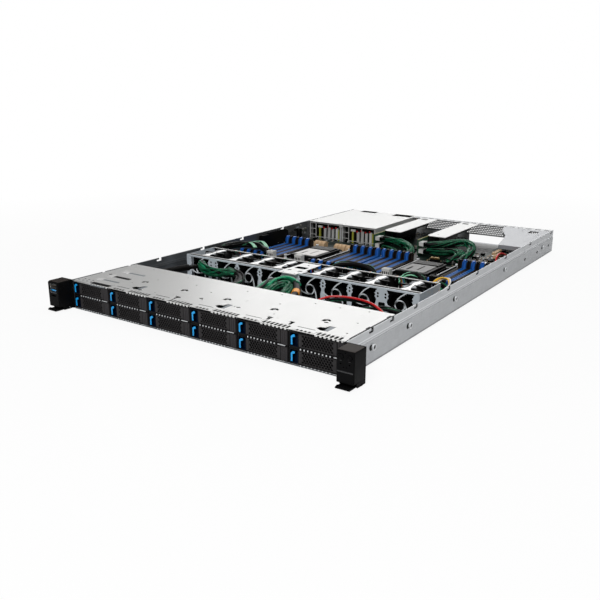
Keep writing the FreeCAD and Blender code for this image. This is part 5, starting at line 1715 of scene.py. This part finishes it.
def tube(stock, line, radius, kind, sides=8, flat=1.0):
    """A strand along a line. Where it would rise too high, it is pressed down."""
    turns = [2 * math.pi * k / sides for k in range(sides)]
    loops = []
    for point, side, up, _ in framed(line):
        ring = [point + side * (radius * math.cos(t)) + up * (radius * flat * math.sin(t)) for t in turns]
        top = max(corner.z for corner in ring)
        if top > HIGHEST:
            ring = [corner - Vector((0, 0, top - HIGHEST)) for corner in ring]
        loops.append(ring)
    stock.skin(loops, kind)


def bundle(stock, corners, radius, strands, kinds, seed, flat=0.8, ends=0.35):
    """Strands that wander round one line, drawn together at both ends."""
    chance = random.Random(seed)
    line = smooth(corners)
    total = length(line)
    for s in range(strands):
        phase, twist = 2 * math.pi * s / strands, chance.uniform(-0.03, 0.05)
        reach, bow = chance.uniform(0.45, 0.80), chance.uniform(0, 6.3)
        path = []
        for point, side, up, run in framed(line):
            spread = ends + (1 - ends) * math.sin(math.pi * min(max(run / total, 0.0), 1.0))
            turn = phase + twist * run + 0.6 * math.sin(run * 0.06 + bow)
            out = radius * reach * spread
            path.append(point + side * (out * math.cos(turn)) + up * (out * flat * math.sin(turn)))
        tube(stock, path, radius * chance.uniform(0.20, 0.30), kinds[s % len(kinds)], 7, 0.8)


print("a straight line bends in", len(smooth([(0, 0, 0), (1, 0, 0), (2, 0, 0)])), "points")

# %% [markdown]
# ## The woven finish
# The strands are real, and their weave is in the finish: two sets of cells, each drawn out along its
# own axis, cross each other. Leads are plain round jackets.

# %% The braid


def braid(name, dark, light, scale):
    """Woven sleeve: two sets of crossing strands with glossy tops."""
    f = Finish(name)
    strands = f.cells(scale, stretch=(1, 0.45, 1))
    cross = f.cells(scale * 0.8, stretch=(0.45, 1, 1))
    weave = strands * cross
    gaps = f.ramp(weave, 0.02, 0.34)
    patch = f.noise(55, 3)
    tone = f.mix(gaps * 0.6 + patch * 0.3, light, dark)
    return f.surface(base_color=tone, roughness=gaps * 0.25 + 0.26, specular_ior_level=0.32,
                     normal=f.bump(weave, 0.5, 0.0005))


GREEN_BRAID = braid("green braid", (0.0002, 0.012, 0.005), (0.002, 0.190, 0.080), 420)
BLACK_SLEEVE = moulded("black sleeve", (0.0028, 0.0026, 0.0026), 0.45, 0.3, 0.12)
# A lighter green for some strands stands for painted glints on the loom.
GLINT_GREEN = moulded("glinting green", (0.010, 0.300, 0.135), 0.3, 0.3, 0.4)
JADE = moulded("jade cable", (0.180, 0.560, 0.330), 0.22, 0.05, 0.6, 0.3)
print("a braid, a black sleeve and two bright greens")

# %% [markdown]
# ## Looms before the fans
# Two arches of strands rise from the backplane's plugs and dip back to it. The first is green on its
# crown and taped at both ends, the second is taped on its right. A red lead lies in a low arch.

# %% The front looms
front_finishes = [GREEN_BRAID, BLACK_SLEEVE, RED, ORANGE, GLINT_GREEN, CHIP_BLACK]
front_looms = Stock()
front = [(-176, 123, 31), (-176, 148, 31), (-166, 172, 31), (-144, 188, 30), (-118, 194, 31),
         (-92, 188, 32), (-66, 174, 32), (-46, 150, 31), (-38, 123, 31)]
bundle(front_looms, [(-158, 192, 35), (-146, 182, 32), (-122, 172, 30), (-98, 178, 31), (-76, 182, 32)],
       9.2, 18, (0, 0, 0, 4, 0, 5), 1, 0.85, 0.7)
bundle(front_looms, front[:2] + [(-168, 172, 31), (-154, 190, 32)], 6.0, 8, (1, 1, 1, 5), 16, 0.85, 0.7)
bundle(front_looms, [(-104, 192, 32)] + front[5:], 7.6, 9, (1, 1, 1, 0), 2, 0.9, 0.7)
sleeve(front_looms, front[:3], 5.5, 1, 16, 5, 0.06, 0.03, 0.9)
sleeve(front_looms, front[5:], 5.0, 1, 16, 5, 0.08, 0.03, 0.9)
arch = [(4, 123, 31), (-2, 146, 31), (-6, 168, 32), (0, 186, 34), (16, 190, 35.5), (34, 174, 34),
        (52, 150, 32), (62, 123, 31)]
bundle(front_looms, arch[:6], 8.4, 18, (0, 0, 4, 0, 5, 0), 3, 0.8, 0.65)
bundle(front_looms, [(12, 130, 28), (8, 156, 30), (16, 176, 31), (30, 164, 30), (38, 136, 28)], 7.5, 14,
       (0, 5, 0, 0), 17, 0.9, 0.8)
bundle(front_looms, arch[4:], 6.4, 6, (1, 1, 1), 4, 0.9, 0.6)
sleeve(front_looms, arch[4:], 4.6, 1, 16, 5, 0.08, 0.03, 0.9)
sleeve(front_looms, arch[5:], 5.6, 3, 16, flat=0.8, spans=[(0.45, 0.75)])
red = [(98, 120, 33), (104, 134, 38), (120, 145, 39), (140, 148, 39), (160, 145, 39), (182, 134, 38),
       (200, 120, 33)]
sleeve(front_looms, red, 1.7, 2, 14, flat=0.8)
sleeve(front_looms, [(x + 3, y + 1.5, z - 3.0) for x, y, z in red], 1.5, 5, 12)
sleeve(front_looms, [(x + 5, y + 4, z - 5.0) for x, y, z in red], 1.3, 0, 12)
bundle(front_looms, [(150, 123, 26), (160, 150, 28), (182, 166, 28), (204, 168, 24)], 5.0, 7, (5, 0, 1), 5)
front_looms.piece("looms_in_front", "chassis", front_finishes, ["front_looms"], smooth=80)
print("looms before the fans")

# %% [markdown]
# ## Looms over the board
# Behind the fans, shorter looms run from plug to plug. Bands of jade cable and a fan of yellow, blue
# and white leads lie over them, and one red lead runs along the right wall.

# %% The rear looms
board_finishes = [GREEN_BRAID, BLACK_SLEEVE, RED, JADE, ORANGE, YELLOW, WIRE_WHITE, WIRE_BLUE]
MIDDLE_LOOM = [(0, 303, 13), (3, 307, 24), (14, 314, 33), (34, 318, 35), (54, 318, 35), (72, 314, 33),
               (82, 307, 24), (84, 303, 13)]
RIGHT_LOOM = [(118, 302, 13), (121, 308, 24), (129, 317, 33), (142, 321, 35), (154, 316, 33),
              (161, 307, 24), (163, 300, 13)]
RED_LEAD = [(203, 480, 13), (202, 487, 26), (198, 502, 34), (195, 524, 35), (198, 540, 32), (203, 549, 22),
            (204, 552, 13)]
RISER_LOOMS = {
    10: [(-31.4, 548, 30), (-20, 548, 30), (4, 542, 29), (26, 532, 26), (40, 516, 22), (44, 500, 18),
         (44, 490, 13.5)],
    11: [(56.6, 548, 30), (68, 549, 30), (84, 566, 31), (98, 590, 31), (116, 595, 30), (130, 574, 27),
         (136, 546, 22), (132, 522, 18), (131, 508, 13.5)],
    12: [(56.6, 546, 17), (68, 545, 17), (84, 544, 18), (100, 552, 20), (112, 560, 20), (121, 552, 19),
         (121, 534, 17), (115, 520, 15), (112, 510, 13.5)]}

board_looms = Stock()
left = [(-206, 274, 24), (-206, 286, 35), (-205, 306, 36), (-202, 330, 35.5), (-188, 346, 35.5),
        (-166, 344, 35.5), (-146, 334, 34), (-126.5, 322, 33)]
bundle(board_looms, left, 7.4, 15, (1, 1, 1, 0, 1), 6, 0.85, 0.7)
sleeve(board_looms, left, 4.2, 1, 16, 5, 0.08, 0.03, 0.9)
for route in ([(-204, 338, 37), (-190, 344, 39.5), (-172, 334, 39.5), (-158, 322, 37)],
              [(-196, 352, 36), (-180, 362, 39.5), (-160, 352, 39.5), (-142, 334, 36)]):
    for i in range(3):
        tube(board_looms, smooth([(x + i * 1.7, y + i * 1.1, z) for x, y, z in route]), 1.0, 3, 8, 0.7)
bundle(board_looms, [(x, y + 4, z - 0.5) for x, y, z in MIDDLE_LOOM], 6.6, 14, (1, 0, 1, 1, 0, 1), 7, 0.85,
       0.7)
sleeve(board_looms, MIDDLE_LOOM, 3.84, 1, 18, 6, 0.08, 0.05, 0.85)
bundle(board_looms, RIGHT_LOOM[:5], 5.0, 8, (3, 0, 3), 8, 0.8, 0.6)
bundle(board_looms, RIGHT_LOOM[3:], 5.6, 8, (1, 1, 0), 9, 0.85, 0.8)
sleeve(board_looms, RIGHT_LOOM, 3.84, 1, 18, 6, 0.08, 0.05, 0.85, [(0.3, 1)])
for seed, corners in RISER_LOOMS.items():
    bundle(board_looms, corners, 8.17, 16, (0, 0, 0, 1), seed, 0.9, 0.5)
    sleeve(board_looms, corners, 4.73, 1, 16, 5, 0.08, 0.05, 0.9, [(0, 0.25), (0.80, 1)], 1.05)
bundle(board_looms, [(60, 540, 22), (84, 536, 24), (108, 548, 25), (124, 530, 20), (112, 505, 12)], 5.5, 9,
       (0, 1, 0), 13)
bundle(board_looms, [(-28, 536, 18), (-6, 528, 19), (18, 512, 16), (30, 500, 12)], 5.5, 9, (0, 1, 0), 14)
sleeve(board_looms, RED_LEAD, 1.5, 2, 12)
for i, kind in enumerate((5, 5, 5, 7, 5, 6)):
    a, b = i * 2.3, i * 1.4
    fan = [(176 + i, 292, 24), (178 + a * 0.4, 302 + b, 34), (185 + a * 0.6, 312 + a * 0.5, 38 - i * 0.2),
           (196 + a * 0.4, 310 - b * 0.2, 38), (204 + b * 0.5, 296 - i, 35), (208 - i, 280 - a * 0.4, 29),
           (206 - i * 2, 274, 20)]
    tube(board_looms, smooth(fan), 1.05, kind, 9)
bundle(board_looms, [(170, 296, 14), (176, 300, 26), (186, 304, 30), (198, 298, 28), (204, 284, 18)], 6.0,
       8, (1, 1, 0, 1, 4), 15)
board_looms.piece("looms_over_board", "chassis", board_finishes, ["board_looms"], smooth=80)
print("looms over the board")

# %% [markdown]
# ## Plugs and the fans' leads
# Where a loom meets the board stands a square plug with a collar. Each fan's own leads are five thin
# wires that come out of a black block and end in a rosy plug.

# %% The plugs and the leads
loom_plugs = Stock()
for x, y, z, side in ((0, 303, 13, 6.72), (84, 303, 13, 6.72), (118, 302, 13, 6.72), (163, 300, 13, 6.72),
                      (203, 480, 13, 2.24), (204, 552, 13, 2.24), (176, 299, 13, 4.76),
                      (206, 297, 13, 4.76), (44, 490, 13.5, 6.02), (131, 508, 13.5, 6.02),
                      (112, 510, 13.5, 6.02)):
    loom_plugs.box(x - side, x + side, y - side, y + side, BOARD_TOP, z - 1.5)
    loom_plugs.box(x - side + 0.6, x + side - 0.6, y - side + 0.6, y + side - 0.6, z - 1.5, z)
loom_plugs.piece("loom_plugs", "chassis", [CHIP_BLACK], soft=0.3)

fan_wires = Stock()
for x in FANS:
    for i in range(5):
        u = x + 9.5 + i * 1.25
        corners = [(u, 268.6, 33), (u, 274, 37.5), (u + 1.5, 282, 38.6), (u + 2.5 + i * 0.3, 290, 33),
                   (u + 3, 294, 22), (u + 3, 295, 14)]
        sleeve(fan_wires, corners, 0.62, i, 8)
    fan_wires.box(x + 11.2, x + 19.6, 292.2, 297.8, BOARD_TOP, 14.4, 5)
    fan_wires.box(x + 12.0, x + 18.8, 291.6, 292.4, 9.6, 14.0, 5)
    fan_wires.box(x + 8.6, x + 15.6, 268.4, 270.4, 29.5, 36.5, 6)
PINKISH = moulded("pale rose nylon", (0.72, 0.50, 0.44), 0.42, 0.06, 0.4)
wire_finishes = [RED, YELLOW, WIRE_WHITE, WIRE_BLUE, WIRE_GREEN, PINKISH, CHIP_BLACK]
fan_wires.piece("fan_wires", "chassis", wire_finishes, smooth=70)
print("plugs and leads")
